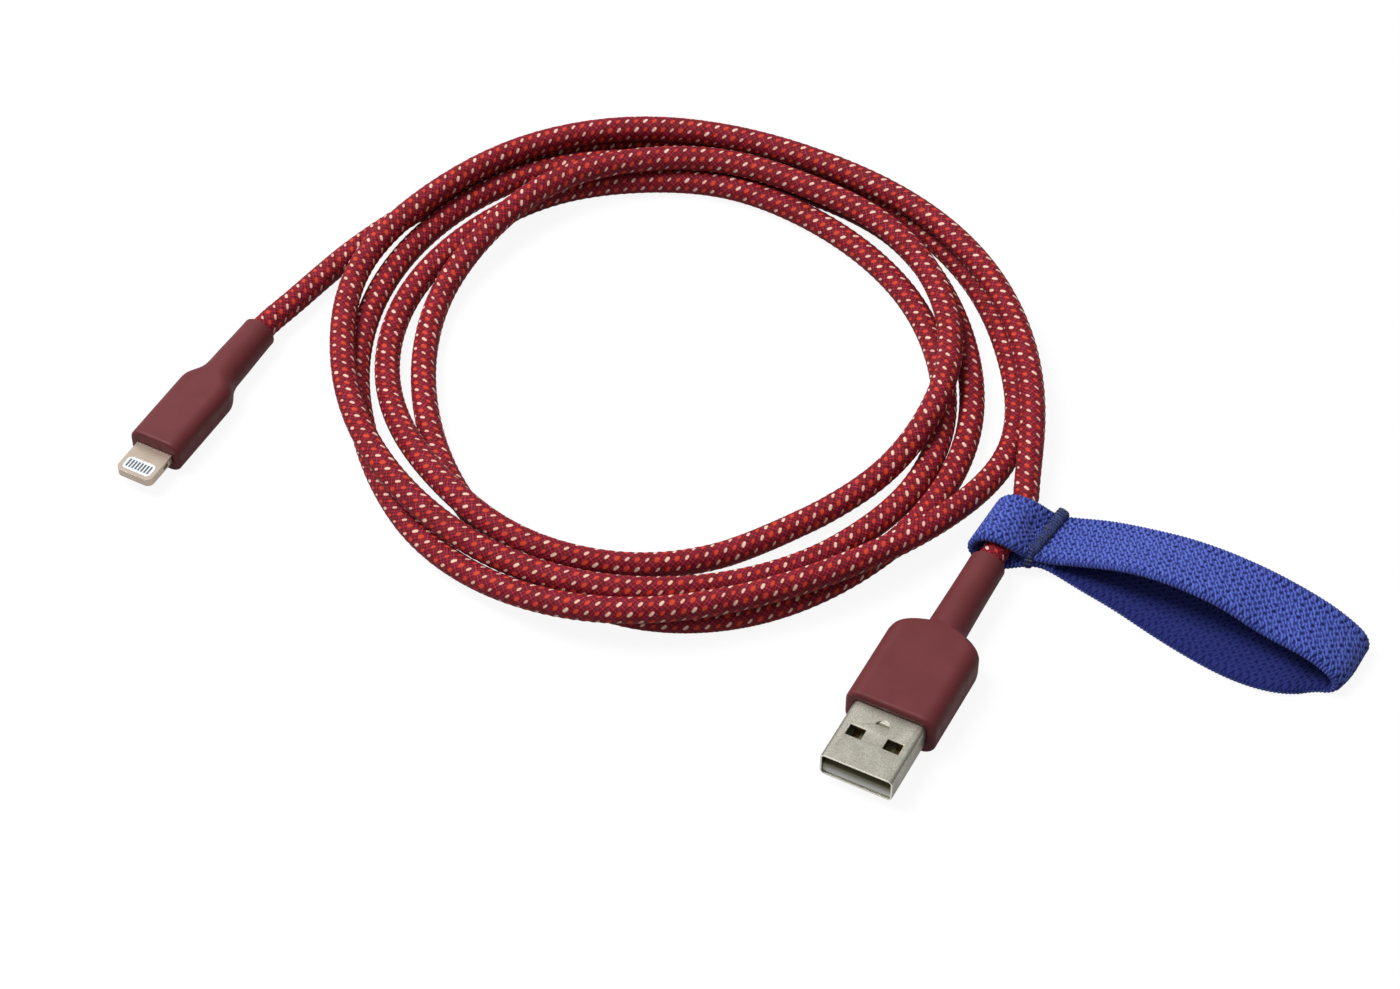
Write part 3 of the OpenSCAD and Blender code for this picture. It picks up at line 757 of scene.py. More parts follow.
@dataclass(frozen=True)
class GripFinish:
    """Soft-touch moulded elastomer with a fine eroded grain."""

    colour: Colour = tone(104, 40, 43)
    deep: Colour = tone(90, 30, 34)
    cloudiness: float = 0.35

    def build(self) -> bpy.types.Material:
        """Returns the material."""
        s = NodeSheet.of_material("soft_touch_burgundy")
        cloud = s.noise(220, 3).fade(0.3, 0.7) * self.cloudiness
        return s.surface(
            Base_Color=s.mix(cloud, self.colour, self.deep),
            Roughness=s.noise(600).fade(0.2, 0.8, 0.5, 0.62),
            Normal=s.bump(s.noise(9000), 0.012, 0.5),
            Specular_IOR_Level=0.32,
        )


@dataclass(frozen=True)
class MetalFinish:
    """Plated sheet metal with a fine speckle and broad faint clouds."""

    name: str
    colour: Colour
    shade: Colour
    roughness: float
    speckle: float
    cloudiness: float = 0.25

    def build(self) -> bpy.types.Material:
        """Returns the material."""
        s = NodeSheet.of_material(self.name)
        fine = s.noise(5200, 3, rough=0.65)
        colour = s.mix(fine.fade(0.42, 0.62) * self.speckle, self.colour, self.shade)
        cloud = s.noise(420, 3).fade(0.35, 0.7) * self.cloudiness
        return s.surface(
            Base_Color=s.mix(cloud, colour, self.shade), Metallic=1.0,
            Roughness=fine.fade(0.2, 0.8, self.roughness * 0.85, self.roughness * 1.2),
            Normal=s.bump(fine, 0.004, 0.3),
        )


@dataclass(frozen=True)
class PlasticFinish:
    """Plain moulded plastic, lacquer or insulation, with a faint flow mottle."""

    name: str
    colour: Colour
    roughness: float = 0.4
    mottle: float = 0.24
    darker: float = 0.8

    def paint(self, s: NodeSheet) -> tuple[Value, Value | float]:
        """Returns the colour and the roughness."""
        dark = tuple(c * self.darker for c in self.colour[:3]) + (1.0,)
        cloud = s.noise(900, 3).fade(0.3, 0.7) * self.mottle
        rough = s.noise(1500).fade(0.2, 0.8, self.roughness, self.roughness * 1.3)
        return s.mix(cloud, self.colour, dark), rough

    def build(self) -> bpy.types.Material:
        """Returns the material."""
        s = NodeSheet.of_material(self.name)
        colour, rough = self.paint(s)
        normal = s.bump(s.noise(6000), 0.006, 0.4)
        return s.surface(Base_Color=colour, Roughness=rough, Normal=normal)


@dataclass(frozen=True)
class TopShadowPlasticFinish(PlasticFinish):
    """Moulded plastic whose colour fades, with its height over the table, into an olive-dark painted shadow
    that stands for the shade the shell's top wall casts on the tongue.
    """

    # upper is the painted shadow colour.
    upper: Colour = tone(112, 108, 84)
    shadow_from: float = 2.3
    shadow_to: float = 4.0

    def paint(self, s: NodeSheet) -> tuple[Value, Value | float]:
        """Returns the colour, darkening upward into the painted shadow, and the roughness."""
        share = s.height().fade(self.shadow_from * MM, self.shadow_to * MM)
        return s.mix(share, self.colour, self.upper), self.roughness


@dataclass(frozen=True)
class Dimple:
    """One kind of dent between the yarns of a knit; its sizes are shares of a stitch. Where a finish darkens
    a dent, the darkness is painted shade.
    """

    depth: float
    wide: float
    tall: float


@dataclass(frozen=True)
class Knit:
    """The stitches of the elastic: rows of dimples between two ribbed selvedges."""

    pitch: float = 1.28
    row: float = 1.17
    lean: float = 0.12
    selvedge: float = 1.45
    scallop: float = 0.64
    main: Dimple = Dimple(0.95, 0.2, 0.24)
    between: Dimple = Dimple(0.45, 0.16, 0.2)
    rib: Dimple = Dimple(0.9, 0.15, 1.0)
    lace_height: float = 0.6
    lace_width: float = 0.6

    def height(self, along: np.ndarray, across: np.ndarray, half_width: float) -> np.ndarray:
        """Gives the height of the knit from 0, a dimple, to 1, the top of a loop.

        Args:
            along: Length along the band, in millimetres.
            across: Place across the band, 0 in the middle.
            half_width: Half the band's width.

        Returns:
            The heights.
        """

        def dents(kind: Dimple, a: np.ndarray, b: np.ndarray) -> np.ndarray:
            """Gives the depth of one kind of dimple, one to each pair of whole numbers."""
            return kind.depth * bell(a, np.round(a), kind.wide) * bell(b, np.round(b), kind.tall)

        straight, b = along / self.pitch, across / self.row
        a = straight + self.lean * b
        knit = 1 - dents(self.main, a, b) - dents(self.between, a + 0.5, b + 0.5)
        ribs = 1 - dents(self.rib, straight, 0 * b)
        wave = np.cos(2 * np.pi * along / self.scallop)
        lace = self.lace_height + (1 - self.lace_height) * wave
        edge = half_width - np.abs(across)
        inner = np.clip((edge - self.selvedge) / 0.25, 0, 1)
        outer = np.clip((self.lace_width - edge) / 0.2, 0, 1)
        return inner * knit + (1 - inner) * ((1 - outer) * ribs + outer * lace)


@dataclass(frozen=True)
class ElasticFinish:
    """Knitted elastic: bright looped yarn over dimples darkened with painted shade, with ribbed selvedges
    whose grooves get painted shade too.
    """

    knit: Knit
    half_width: float
    thread: Colour = tone(86, 104, 192)
    shade: Colour = tone(46, 60, 140)
    # deep is painted shade: the colour of the knit's dents, rib grooves and lace scallops, and of the lower
    # layer's inner face.
    deep: Colour = tone(9, 18, 88)
    inside_shade_share: float = 0.85
    main: Dimple = Dimple(1.0, 0.27, 0.30)
    between: Dimple = Dimple(0.7, 0.2, 0.24)
    rib_middle: float = 1.05
    rib_half_length: float = 0.55
    rib_half_width: float = 0.2

    def build(self) -> bpy.types.Material:
        """Returns the material; it reads the band's running lengths, in millimetres, and the mark of the
        lower layer's inner face, which gets painted shade.
        """
        s = NodeSheet.of_material("knitted_elastic")
        along, across, inside = s.running("knit")
        k = self.knit

        def dots(kind: Dimple, a: Value, b: Value) -> Value:
            """Gives the share of painted shade in one kind of dimple, one to each pair of whole numbers."""
            reach = abs(a.off() / kind.wide) ** 2.0 + abs(b.off() / kind.tall) ** 2.0
            return reach.fade(0.2, 1.25, 1, 0) * kind.depth

        wander = (s.noise(900, 1) - 0.5) * 0.5
        b = across / k.row + wander
        straight = along / k.pitch
        a = straight + b * k.lean + wander
        edge = self.half_width - abs(across)
        inner = edge.fade(k.selvedge - 0.1, k.selvedge + 0.2)
        body = dots(self.main, a, b).most(dots(self.between, a + 0.5, b + 0.5)) * inner
        bar = (
            abs(straight.off() / self.rib_half_width) ** 2.0
            + abs((edge - self.rib_middle) / self.rib_half_length) ** 2.0
        )
        ribs = bar.fade(0.35, 1.2, 1, 0)
        lace = along.wave(1 / k.scallop).fade(0.2, -0.6) * edge.fade(0.6, 0.95, 0.9, 0.0)
        # Painted shade in the dimples, the rib grooves and the scallops of the lace edge, a little uneven.
        dark = body.most(ribs.most(lace)) * s.noise(700).fade(0.3, 0.6, 0.6, 1.0)

        yarn = (a * 2.0 + b).wave() * 0.25 + s.noise(3200, 3)
        lit = s.mix(yarn.fade(0.25, 0.75), self.shade, self.thread)
        colour = s.mix(dark, lit, self.deep)
        # Painted shade on the inner face of the loop's lower layer.
        colour = s.mix(inside * self.inside_shade_share, colour, self.deep)
        return s.surface(
            Base_Color=colour, Roughness=0.8, Normal=s.bump(yarn * 0.6 + (1.0 - dark), 0.06, 0.6),
            Sheen_Weight=0.12, Sheen_Roughness=0.5, Specular_IOR_Level=0.2,
        )


@dataclass(frozen=True)
class ThreadFinish:
    """Twisted sewing thread, navy with greyer strands."""

    colour: Colour = tone(62, 74, 132)
    grey: Colour = tone(92, 96, 98)
    dark: Colour = tone(18, 21, 50)

    def build(self) -> bpy.types.Material:
        """Returns the material."""
        s = NodeSheet.of_material("navy_sewing_thread")
        fibre = s.noise(4200, 3)
        strand = s.mix(s.noise(900).fade(0.5, 0.7), self.colour, self.grey)
        return s.surface(
            Base_Color=s.mix(fibre.fade(0.3, 0.65), self.dark, strand), Roughness=0.78,
            Normal=s.bump(fibre, 0.05, 0.7), Sheen_Weight=0.1, Specular_IOR_Level=0.25,
        )


# ---------------------------------------------------------------- places


@dataclass(frozen=True)
class Place:
    """Where a sub-assembly lies on the table: the start of its own X axis, its height and its turn."""

    start: tuple[float, float]
    height: float
    yaw: float

    def put(self, points: np.ndarray) -> np.ndarray:
        """Moves points, [along, across, up], from the sub-assembly's own frame to the part's."""
        turn = math.radians(self.yaw)
        c, s = math.cos(turn), math.sin(turn)
        x, y, z = np.asarray(points, float).T
        columns = [self.start[0] + c * x - s * y, self.start[1] + s * x + c * y, self.height + z]
        return np.stack(columns, axis=1)

    def on_axis(self, x: float) -> np.ndarray:
        """Returns the point at that length on its own X axis."""
        return self.put(np.array([[x, 0.0, 0.0]]))[0]

    def direction(self) -> np.ndarray:
        """Returns the unit vector along its own X axis."""
        turn = math.radians(self.yaw)
        return np.array([math.cos(turn), math.sin(turn), 0.0])


# A plug's X axis starts at the cord end of its relief and runs to its mouth. The strap's starts on
# the table under the middle of the cord, where the collar is, and runs toward the loop's far end.
CHARGER_PLACE = Place(start=(40.2, -4.4), height=4.0, yaw=-117.5)
DEVICE_PLACE = Place(start=(-78.9, 47.74), height=3.1, yaw=-118.0)
STRAP_PLACE = Place(start=(44.102, 3.095), height=0.0, yaw=-30.5)


# ---------------------------------------------------------------- camera and light


@dataclass
class Studio:
    """A pale table, soft light and the camera."""

    eye: Point = (-5.0, -363.5, 417.5)
    aim: Point = (-5.0, 14.1, 0.0)
    roll: float = 0.114
    lens: float = 89.517
    film_width: float = 36.0
    sight: tuple[float, float] = (0.01, 20.0)
    table_half: float = 2.0
    table_tones: tuple[Colour, Colour] = (tone(160, 160, 160), tone(164, 164, 164))
    table_glow: float = 1.2
    glow_seen: float = 0.76
    glow_mirrored: float = 0.3
    sky_colour: Colour = (0.98, 0.99, 1.0, 1.0)
    sky_top: Point = (-0.30, 0.45, 0.84)
    sky_fade: tuple[float, float, float, float] = (-0.3, 1.0, 0.08, 0.72)
    lamp_at: Point = (-0.5, 0.12, 1.0)
    lamp_size: float = 0.5
    lamp_power: float = 11.0

    def place_camera(self) -> None:
        """Makes the camera, which looks down on the cable over the charger plug."""
        lens = bpy.data.cameras.new("studio_camera")
        lens.lens, lens.sensor_width = self.lens, self.film_width
        lens.clip_start, lens.clip_end = self.sight
        camera = bpy.data.objects.new("studio_camera", lens)
        eye, aim = Vector(self.eye) * MM, Vector(self.aim) * MM
        camera.location = eye
        turn = (aim - eye).to_track_quat("-Z", "Y").to_matrix().to_4x4()
        camera.rotation_euler = (turn @ Matrix.Rotation(math.radians(self.roll), 4, "Z")).to_euler()
        bpy.context.scene.collection.objects.link(camera)
        bpy.context.scene.camera = camera

    def build_table(self) -> None:
        """Lays the pale table, which looks white and keeps a soft shadow."""
        half = self.table_half
        corners = [(-half, -half, 0), (half, -half, 0), (half, half, 0), (-half, half, 0)]
        mesh = bpy.data.meshes.new("studio_table")
        mesh.from_pydata(corners, [], [(0, 1, 2, 3)])
        table = bpy.data.objects.new("studio_table", mesh)
        bpy.context.scene.collection.objects.link(table)
        s = NodeSheet.of_material("pale_table")
        grain = s.noise(9).fade(0.2, 0.8, 0.985, 1.0)
        paint = s.node("BsdfDiffuse", Color=s.mix(grain, *self.table_tones))
        glow = s.node("Emission", Color=WHITE, Strength=self.table_glow)
        rays = s.node("LightPath").outputs
        seen = Value(s, rays["Is Camera Ray"]) * self.glow_seen
        mirrored = Value(s, rays["Is Glossy Ray"]) * self.glow_mirrored
        s.end("OutputMaterial", s.layers(seen.most(mirrored), paint, glow))
        mesh.materials.append(s.owner)

    def build_light(self) -> None:
        """Lights the scene with a sky that is brightest behind and above, and one soft lamp."""
        s = NodeSheet(bpy.data.worlds.new("studio_sky"))
        facing = s.node("VectorMath", {"operation": "DOT_PRODUCT"})
        s.feed(facing.inputs[0], s.node("TexCoord").outputs["Generated"])
        s.feed(facing.inputs[1], self.sky_top)
        strength = Value(s, facing.outputs["Value"]).fade(*self.sky_fade)
        sky = s.node("Background", Color=self.sky_colour, Strength=strength)
        white = s.node("Background", Color=WHITE, Strength=1.0)
        seen = s.node("LightPath").outputs["Is Camera Ray"]
        s.end("OutputWorld", s.layers(seen, sky, white))
        bpy.context.scene.world = s.owner

        light = bpy.data.lights.new("key_lamp", "AREA")
        light.shape, light.size, light.energy = "SQUARE", self.lamp_size, self.lamp_power
        lamp = bpy.data.objects.new("key_lamp", light)
        lamp.location = self.lamp_at
        lamp.rotation_euler = (-Vector(self.lamp_at)).to_track_quat("-Z", "Y").to_euler()
        bpy.context.scene.collection.objects.link(lamp)


# ---------------------------------------------------------------- cord


@dataclass
class Cord:
    """The braided cord: its route from plug to plug, and the yarns on its surface.

    The route starts inside the device plug. Its leads are points; its coil is a radius and a height
    at even angles round the coil's middle.
    """

    finish: bpy.types.Material
    diameter: float = 4.2
    table_gap: float = 0.04
    rows: int = 8
    fleck_pitch: float = 1.6
    yarn_reach: float = 0.52
    yarn_height: float = 0.21
    gap_depth: float = 0.17
    twists: tuple[Point, ...] = ((1.1, 118.0, 0.0), (0.8, 61.0, 1.0))
    ring_points: int = 48
    step: float = 0.27
    samples: int = 12000
    path_step: int = 4
    charger_straight: float = 13.5
    device_held: float = 4.0
    device_inside: float = 12.85
    charger_inside: float = 15.75
    device_lead: tuple[Point, ...] = ((-77.8, 49.7, 3.0), (-75.0, 53.7, 2.8), (-71.5, 58.9, 2.4))
    charger_lead: Point = (47.4, 11.8, 4.1)
    coil_middle: tuple[float, float] = (-8.0, 43.6)
    first_angle: float = 160.0
    angle_step: float = 20.0
    coil: list[tuple[float, float]] = field(
        default_factory=lambda: [
            (62.9, 2.1), (57.6, 2.1), (56, 2.1), (53.5, 2.1), (51.5, 2.1), (50.5, 2.1),
            (51, 2.1), (52.5, 2.1), (54.5, 2.1), (57.5, 2.1), (57, 4.5), (56.5, 6.4),
            (57.5, 6.4), (60.3, 6.4), (59.9, 4.1), (57.5, 2.1), (55, 2.1), (54, 2.1),
            (53.5, 2.1), (52.8, 2.1), (51.5, 2.1), (48.5, 2.1), (46.5, 2.1), (45.5, 2.1),
            (46.5, 2.1), (46.5, 2.1), (47.5, 2.1), (50, 2.1), (52.5, 2.1), (55, 2.1),
            (57.5, 2.1), (57, 2.1), (52, 2.1), (47.5, 2.1), (44.3, 2.1), (43, 2.1),
            (43, 2.9), (43, 5), (44, 6.3), (44, 6.4), (44, 6), (43, 6),
            (44, 6), (44.5, 6.2), (44.5, 6.4), (44, 6.4), (43, 4), (42, 2.1),
            (44.5, 2.1), (48.7, 3.8), (51.5, 6.5), (50, 6.1), (49.2, 3.8), (49.1, 2.1),
            (48.2, 2.1), (46.7, 2.1), (45.3, 2.1), (43.2, 2.1), (41.8, 2.1), (40, 2.1),
            (39.5, 2.1), (40.5, 2.1), (42.5, 2.1), (45.5, 2.1), (48, 2.1), (49.5, 2.1),
            (52.5, 4.1), (56, 6.6), (56, 6), (56, 6.5), (56, 6.4), (56.5, 5.6),
            (57.5, 5.2), (55.3, 6.2), (54.3, 6.2), (52.3, 6.4), (50, 6.4), (49.1, 6.4),
            (50.5, 6.5), (53.2, 6.4), (56.3, 6.1), (60.5, 5.3),
        ]
    )

    def route(self) -> np.ndarray:
        """Returns the cord's centre line at even steps, in millimetres."""
        knots = [DEVICE_PLACE.on_axis(self.device_held), *map(np.array, self.device_lead)]
        for k, (radius, height) in enumerate(self.coil):
            angle = math.radians(self.first_angle - k * self.angle_step)
            x = self.coil_middle[0] + radius * math.cos(angle)
            y = self.coil_middle[1] + radius * math.sin(angle)
            knots.append(np.array([x, y, height]))
        knots += [np.array(self.charger_lead), CHARGER_PLACE.on_axis(-self.charger_straight)]
        points = np.array(knots)
        length = running_length(points)
        line = cubic_through(
            length, points, np.linspace(0, length[-1], self.samples),
            start=-DEVICE_PLACE.direction(), end=CHARGER_PLACE.direction(),
        )
        line[:, 2] = np.maximum(line[:, 2], self.diameter / 2 + self.table_gap)
        ends = DEVICE_PLACE.on_axis(self.device_inside), CHARGER_PLACE.on_axis(self.charger_inside)
        return even_steps(np.vstack([ends[0], line, ends[1]]), self.step)

    def relief(self, u: np.ndarray, v: np.ndarray) -> np.ndarray:
        """Gives the height of the yarns over the cord's round surface.

        Args:
            u: Flecks along the cord.
            v: Rows round the cord.

        Returns:
            Heights in millimetres, from the deepest gap to the top of a yarn.
        """

        def yarn(across: np.ndarray, along: np.ndarray) -> np.ndarray:
            """Gives one yarn's round back, which dips to 0 where it goes under the next yarn."""
            back = np.sqrt(np.maximum(1 - (across / self.yarn_reach) ** 2, 0))
            return np.cos(np.pi / 2 * np.abs(along)) * back

        a, b = u + v, u - v
        n, m = np.round(a), np.round(b)
        tops = np.maximum(yarn(a - n, (b - n + 1) % 2 - 1), yarn(b - m, (a - m) % 2 - 1))
        return self.yarn_height * tops - self.gap_depth

    def build(self) -> bpy.types.Object:
        """Sweeps the braided tube along the route and returns it."""
        line = self.route()
        count, columns = len(line), self.ring_points
        up, aside = square_to(line, (0.0, 0.0, 1.0))
        length = running_length(line)
        turn = np.arange(columns + 1) / columns
        u, v = length[:, None] / self.fleck_pitch, -self.rows * turn[None, :]
        twist = sum(size * np.sin(length / wave + start) for size, wave, start in self.twists)
        angle = 2 * np.pi * turn[None, :-1] + twist[:, None]
        radius = self.diameter / 2 + self.relief(u, v[:, :-1])
        outward = (
            np.sin(angle)[..., None] * up[:, None, :] - np.cos(angle)[..., None] * aside[:, None, :]
        )
        points = (line[:, None, :] + radius[..., None] * outward).reshape(-1, 3)
        faces = grid_faces(count, columns, False)[:, ::-1].tolist()
        faces.append(list(range(columns)))
        faces.append([(count - 1) * columns + k for k in range(columns - 1, -1, -1)])
        piece = make_piece("braided_cord", points, faces, Body.CABLE)
        store_on_grid(piece, "weave", np.stack(np.broadcast_arrays(u, v, 0.0), axis=-1), flipped=True)
        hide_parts("braided_sleeve", "inner_jacket")
        LOG.info("cord: %.1f mm along its centre, %d faces", length[-1], len(faces))
        return dress(piece, self.finish)

    def declare(self, far_pieces: list[Any]) -> None:
        """Args:
            far_pieces: The pieces of the device plug at its far end; not used.
        """
        path = self.route()[::-1]
        tuple(CHARGER_PLACE.on_axis(0.0) * MM)
        self.diameter * MM


# ---------------------------------------------------------------- plugs


@dataclass
class MouldedGrip:
    """A soft moulded body round a plug: a strain relief that swells into a flat grip.

    Its profiles hold rings, [along, half width, half height, corner]. The relief's end face has a
    shallow groove round the cord, and the front edge of the grip is rounded.
    """

    name: str
    place: Place
    finish: bpy.types.Material
    outside: list[Station]
    inside: list[Station]
    end_groove: float
    front_round: float
    replaces: str
    ring_points: int = 144
    ring_step: float = 0.2
    round_steps: int = 9
    crease: float = 40.0

    def stations(self) -> list[list[float]]:
        """Returns every ring, outside then inside."""
        body = smooth_profile(self.outside, self.ring_step)
        (x0, w0, h0, c0), (x1, w1, h1, c1) = body[0], body[-1]
        turns = np.linspace(0, math.pi / 2, self.round_steps)
        groove = [self.end_groove * (1 - math.sin(t)) for t in turns]
        rings = [[x0 + cut, w0 - cut, h0 - cut, c0 - cut] for cut in groove]
        rings[0][0] = x0
        rings += [r for r in body if x0 + self.end_groove < r[0] < x1 - self.front_round]
        for t in turns:
            cut = self.front_round * (1 - math.cos(t))
            x = x1 - self.front_round * (1 - math.sin(t))
            rings.append([x, w1 - cut, h1 - cut, c1 - cut])
        return rings + [list(r) for r in self.inside]

    def build(self) -> bpy.types.Object:
        """Lofts the grip as one closed hollow body and returns it."""
        rings = self.stations()
        count = self.ring_points
        points = np.vstack([
            np.column_stack([np.full(count, x), ring_section(w, h, c, count)])
            for x, w, h, c in rings
        ])
        faces = grid_faces(len(rings), count, True)[:, ::-1]
        piece = make_piece(self.name, self.place.put(points), faces, Body.CABLE, self.crease)
        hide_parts(self.replaces)
        return dress(piece, self.finish)


def charger_grip(finish: bpy.types.Material) -> MouldedGrip:
    """Returns the charger plug's grip with its sizes."""
    return MouldedGrip(
        name="charger_soft_grip",
        place=CHARGER_PLACE,
        finish=finish,
        outside=[
            (0, 3.0, 3.0, 3.0), (15.2, 3.2, 3.2, 3.2), (16.0, 3.3, 3.22, 3.15),
            (16.5, 3.62, 3.3, 2.95), (17.0, 4.5, 3.46, 2.75), (17.5, 5.42, 3.62, 2.65),
            (18.1, 6.28, 3.78, 2.6), (18.7, 6.92, 3.89, 2.6), (19.5, 7.38, 3.96, 2.6),
            (20.9, 7.6, 4.0, 2.6), (35.7, 7.6, 4.0, 2.6),
        ],
        inside=[
            (35.7, 6.25, 2.5, 1.05), (35.6, 6.1, 2.35, 0.9), (35.4, 6.05, 2.3, 0.85),
            (20.45, 6.05, 2.3, 0.85), (20.45, 1.95, 1.95, 1.95), (17.0, 1.95, 1.95, 1.95),
            (17.0, 2.15, 2.15, 2.15), (0.3, 2.15, 2.15, 2.15), (0.0, 2.35, 2.35, 2.35),
        ],
        end_groove=0.45,
        front_round=0.6,
        replaces="charger_grip",
    )


def device_grip(finish: bpy.types.Material) -> MouldedGrip:
    """Returns the device plug's grip with its sizes."""
    return MouldedGrip(
        name="device_soft_grip",
        place=DEVICE_PLACE,
        finish=finish,
        outside=[
            (0, 2.9, 2.9, 2.9), (9.4, 3.1, 3.1, 3.1), (11.2, 3.14, 3.1, 3.08),
            (12.4, 3.32, 3.1, 2.95), (13.3, 3.62, 3.1, 2.78), (14.1, 4.04, 3.1, 2.55),
            (14.8, 4.4, 3.1, 2.38), (15.5, 4.64, 3.1, 2.26), (16.4, 4.75, 3.1, 2.2),
            (30.9, 4.75, 3.1, 2.2),
        ],
        inside=[
            (30.9, 3.5, 0.92, 0.2), (30.8, 3.4, 0.82, 0.12), (30.6, 3.375, 0.8, 0.1),
            (29.45, 3.375, 0.8, 0.1), (29.45, 3.675, 1.9, 0.1), (18.55, 3.675, 1.9, 0.1),
            (18.55, 2.1, 2.1, 2.1), (12.85, 2.1, 2.1, 2.1), (12.8, 2.15, 2.15, 2.15),
            (0.3, 2.15, 2.15, 2.15), (0.0, 2.35, 2.35, 2.35),
        ],
        end_groove=0.6,
        front_round=0.5,
        replaces="device_grip",
    )


@dataclass
class ChargerPlug:
    """The charger plug: soft grip, sheet-metal shell, tongue and contacts."""

    grip: bpy.types.Material
    steel: bpy.types.Material
    # Near-white steel for the mouth's forward faces: a painted highlight.
    rim_highlight: bpy.types.Material
    # cream is the tongue's material, with painted shadow toward its top.
    cream: bpy.types.Material
    gold: bpy.types.Material
    breaker: EdgeBreaker = EdgeBreaker()
    shell_edge: float = 0.09
    tongue_edge: float = 0.08
    strip_edge: float = 0.04
    highlight_facing: float = 0.3
    tab_middle: float = 38.36
    tab_radius: float = 1.1
    tab_bottom: float = 1.2
    tab_top: float = 2.2
    tab_drop: float = 0.75
    tab_points: int = 25
    tab_crease: float = 20.0

    def build(self) -> list[bpy.types.Object]:
        """Makes the plug's visible pieces and returns them."""
        grip = charger_grip(self.grip).build()
        shell = self.build_shell()
        tongue = self.breaker.copy(
            "charger_insulator", "charger_moulded_tongue", self.tongue_edge, 2
        )
        made = [grip, shell, dress(tongue, self.cream), self.build_tab()]
        for use in ("power", "data_minus", "data_plus", "ground"):
            strip = self.breaker.copy(
                f"charger_contact_{use}", f"charger_gilt_strip_{use}", self.strip_edge, 2
            )
            made.append(dress(strip, self.gold))
        return made

    def build_shell(self) -> bpy.types.Object:
        """Makes the shell; its faces that look forward out of the mouth get near-white steel, a painted
        highlight that stands for the bright table reflected in the cut rim.
        """
        shell = self.breaker.copy("charger_shell", "charger_plated_shell", self.shell_edge, 3)
        dress(shell, self.steel)
        shell.data.materials.append(self.rim_highlight)
        forward = Vector(CHARGER_PLACE.direction())
        # Faces that look forward get the painted highlight.
        for face in shell.data.polygons:
            face.material_index = int(face.normal.dot(forward) > self.highlight_facing)
        return shell

    def build_tab(self) -> bpy.types.Object:
        """Fills the half-round punching in the shell with the tab that was pressed out of it."""
        count = self.tab_points
        angle = np.linspace(np.pi / 2, 1.5 * np.pi, count)
        x = self.tab_middle + self.tab_radius * np.cos(angle)
        y = self.tab_radius * np.sin(angle)
        top = self.tab_top - self.tab_drop * (x - x.min()) / self.tab_radius
        rings = [np.column_stack([x, y, np.full(count, self.tab_bottom)]), np.column_stack([x, y, top])]
        faces = grid_faces(2, count, False)[:, ::-1].tolist() + [[count + k for k in range(count)]]
        points = CHARGER_PLACE.put(np.vstack(rings))
        tab = make_piece("charger_locking_tab", points, faces, Body.CABLE, self.tab_crease)
        return dress(tab, self.steel)


@dataclass
class DevicePlug:
    """The device plug: soft grip, flat blade, white window and its sixteen pads."""

    grip: bpy.types.Material
    champagne: bpy.types.Material
    white: bpy.types.Material
    pad: bpy.types.Material
    breaker: EdgeBreaker = EdgeBreaker()
    blade_edge: float = 0.14
    window_edge: float = 0.03
    pad_edge: float = 0.03

    def build(self) -> list[bpy.types.Object]:
        """Makes the plug's visible pieces and returns them."""
        grip = device_grip(self.grip).build()
        blade = self.breaker.copy("device_blade_frame", "device_nickel_blade", self.blade_edge, 3)
        window = self.breaker.copy(
            "device_contact_insert", "device_white_window", self.window_edge, 2
        )
        made = [
            grip,
            dress(blade, self.champagne),
            dress(window, self.white),
        ]
        for side in ("upper", "lower"):
            pads = self.breaker.copy(
                f"device_contacts_{side}", f"device_pads_{side}", self.pad_edge, 2
            )
            made.append(dress(pads, self.pad))
        return made


# ---------------------------------------------------------------- strap


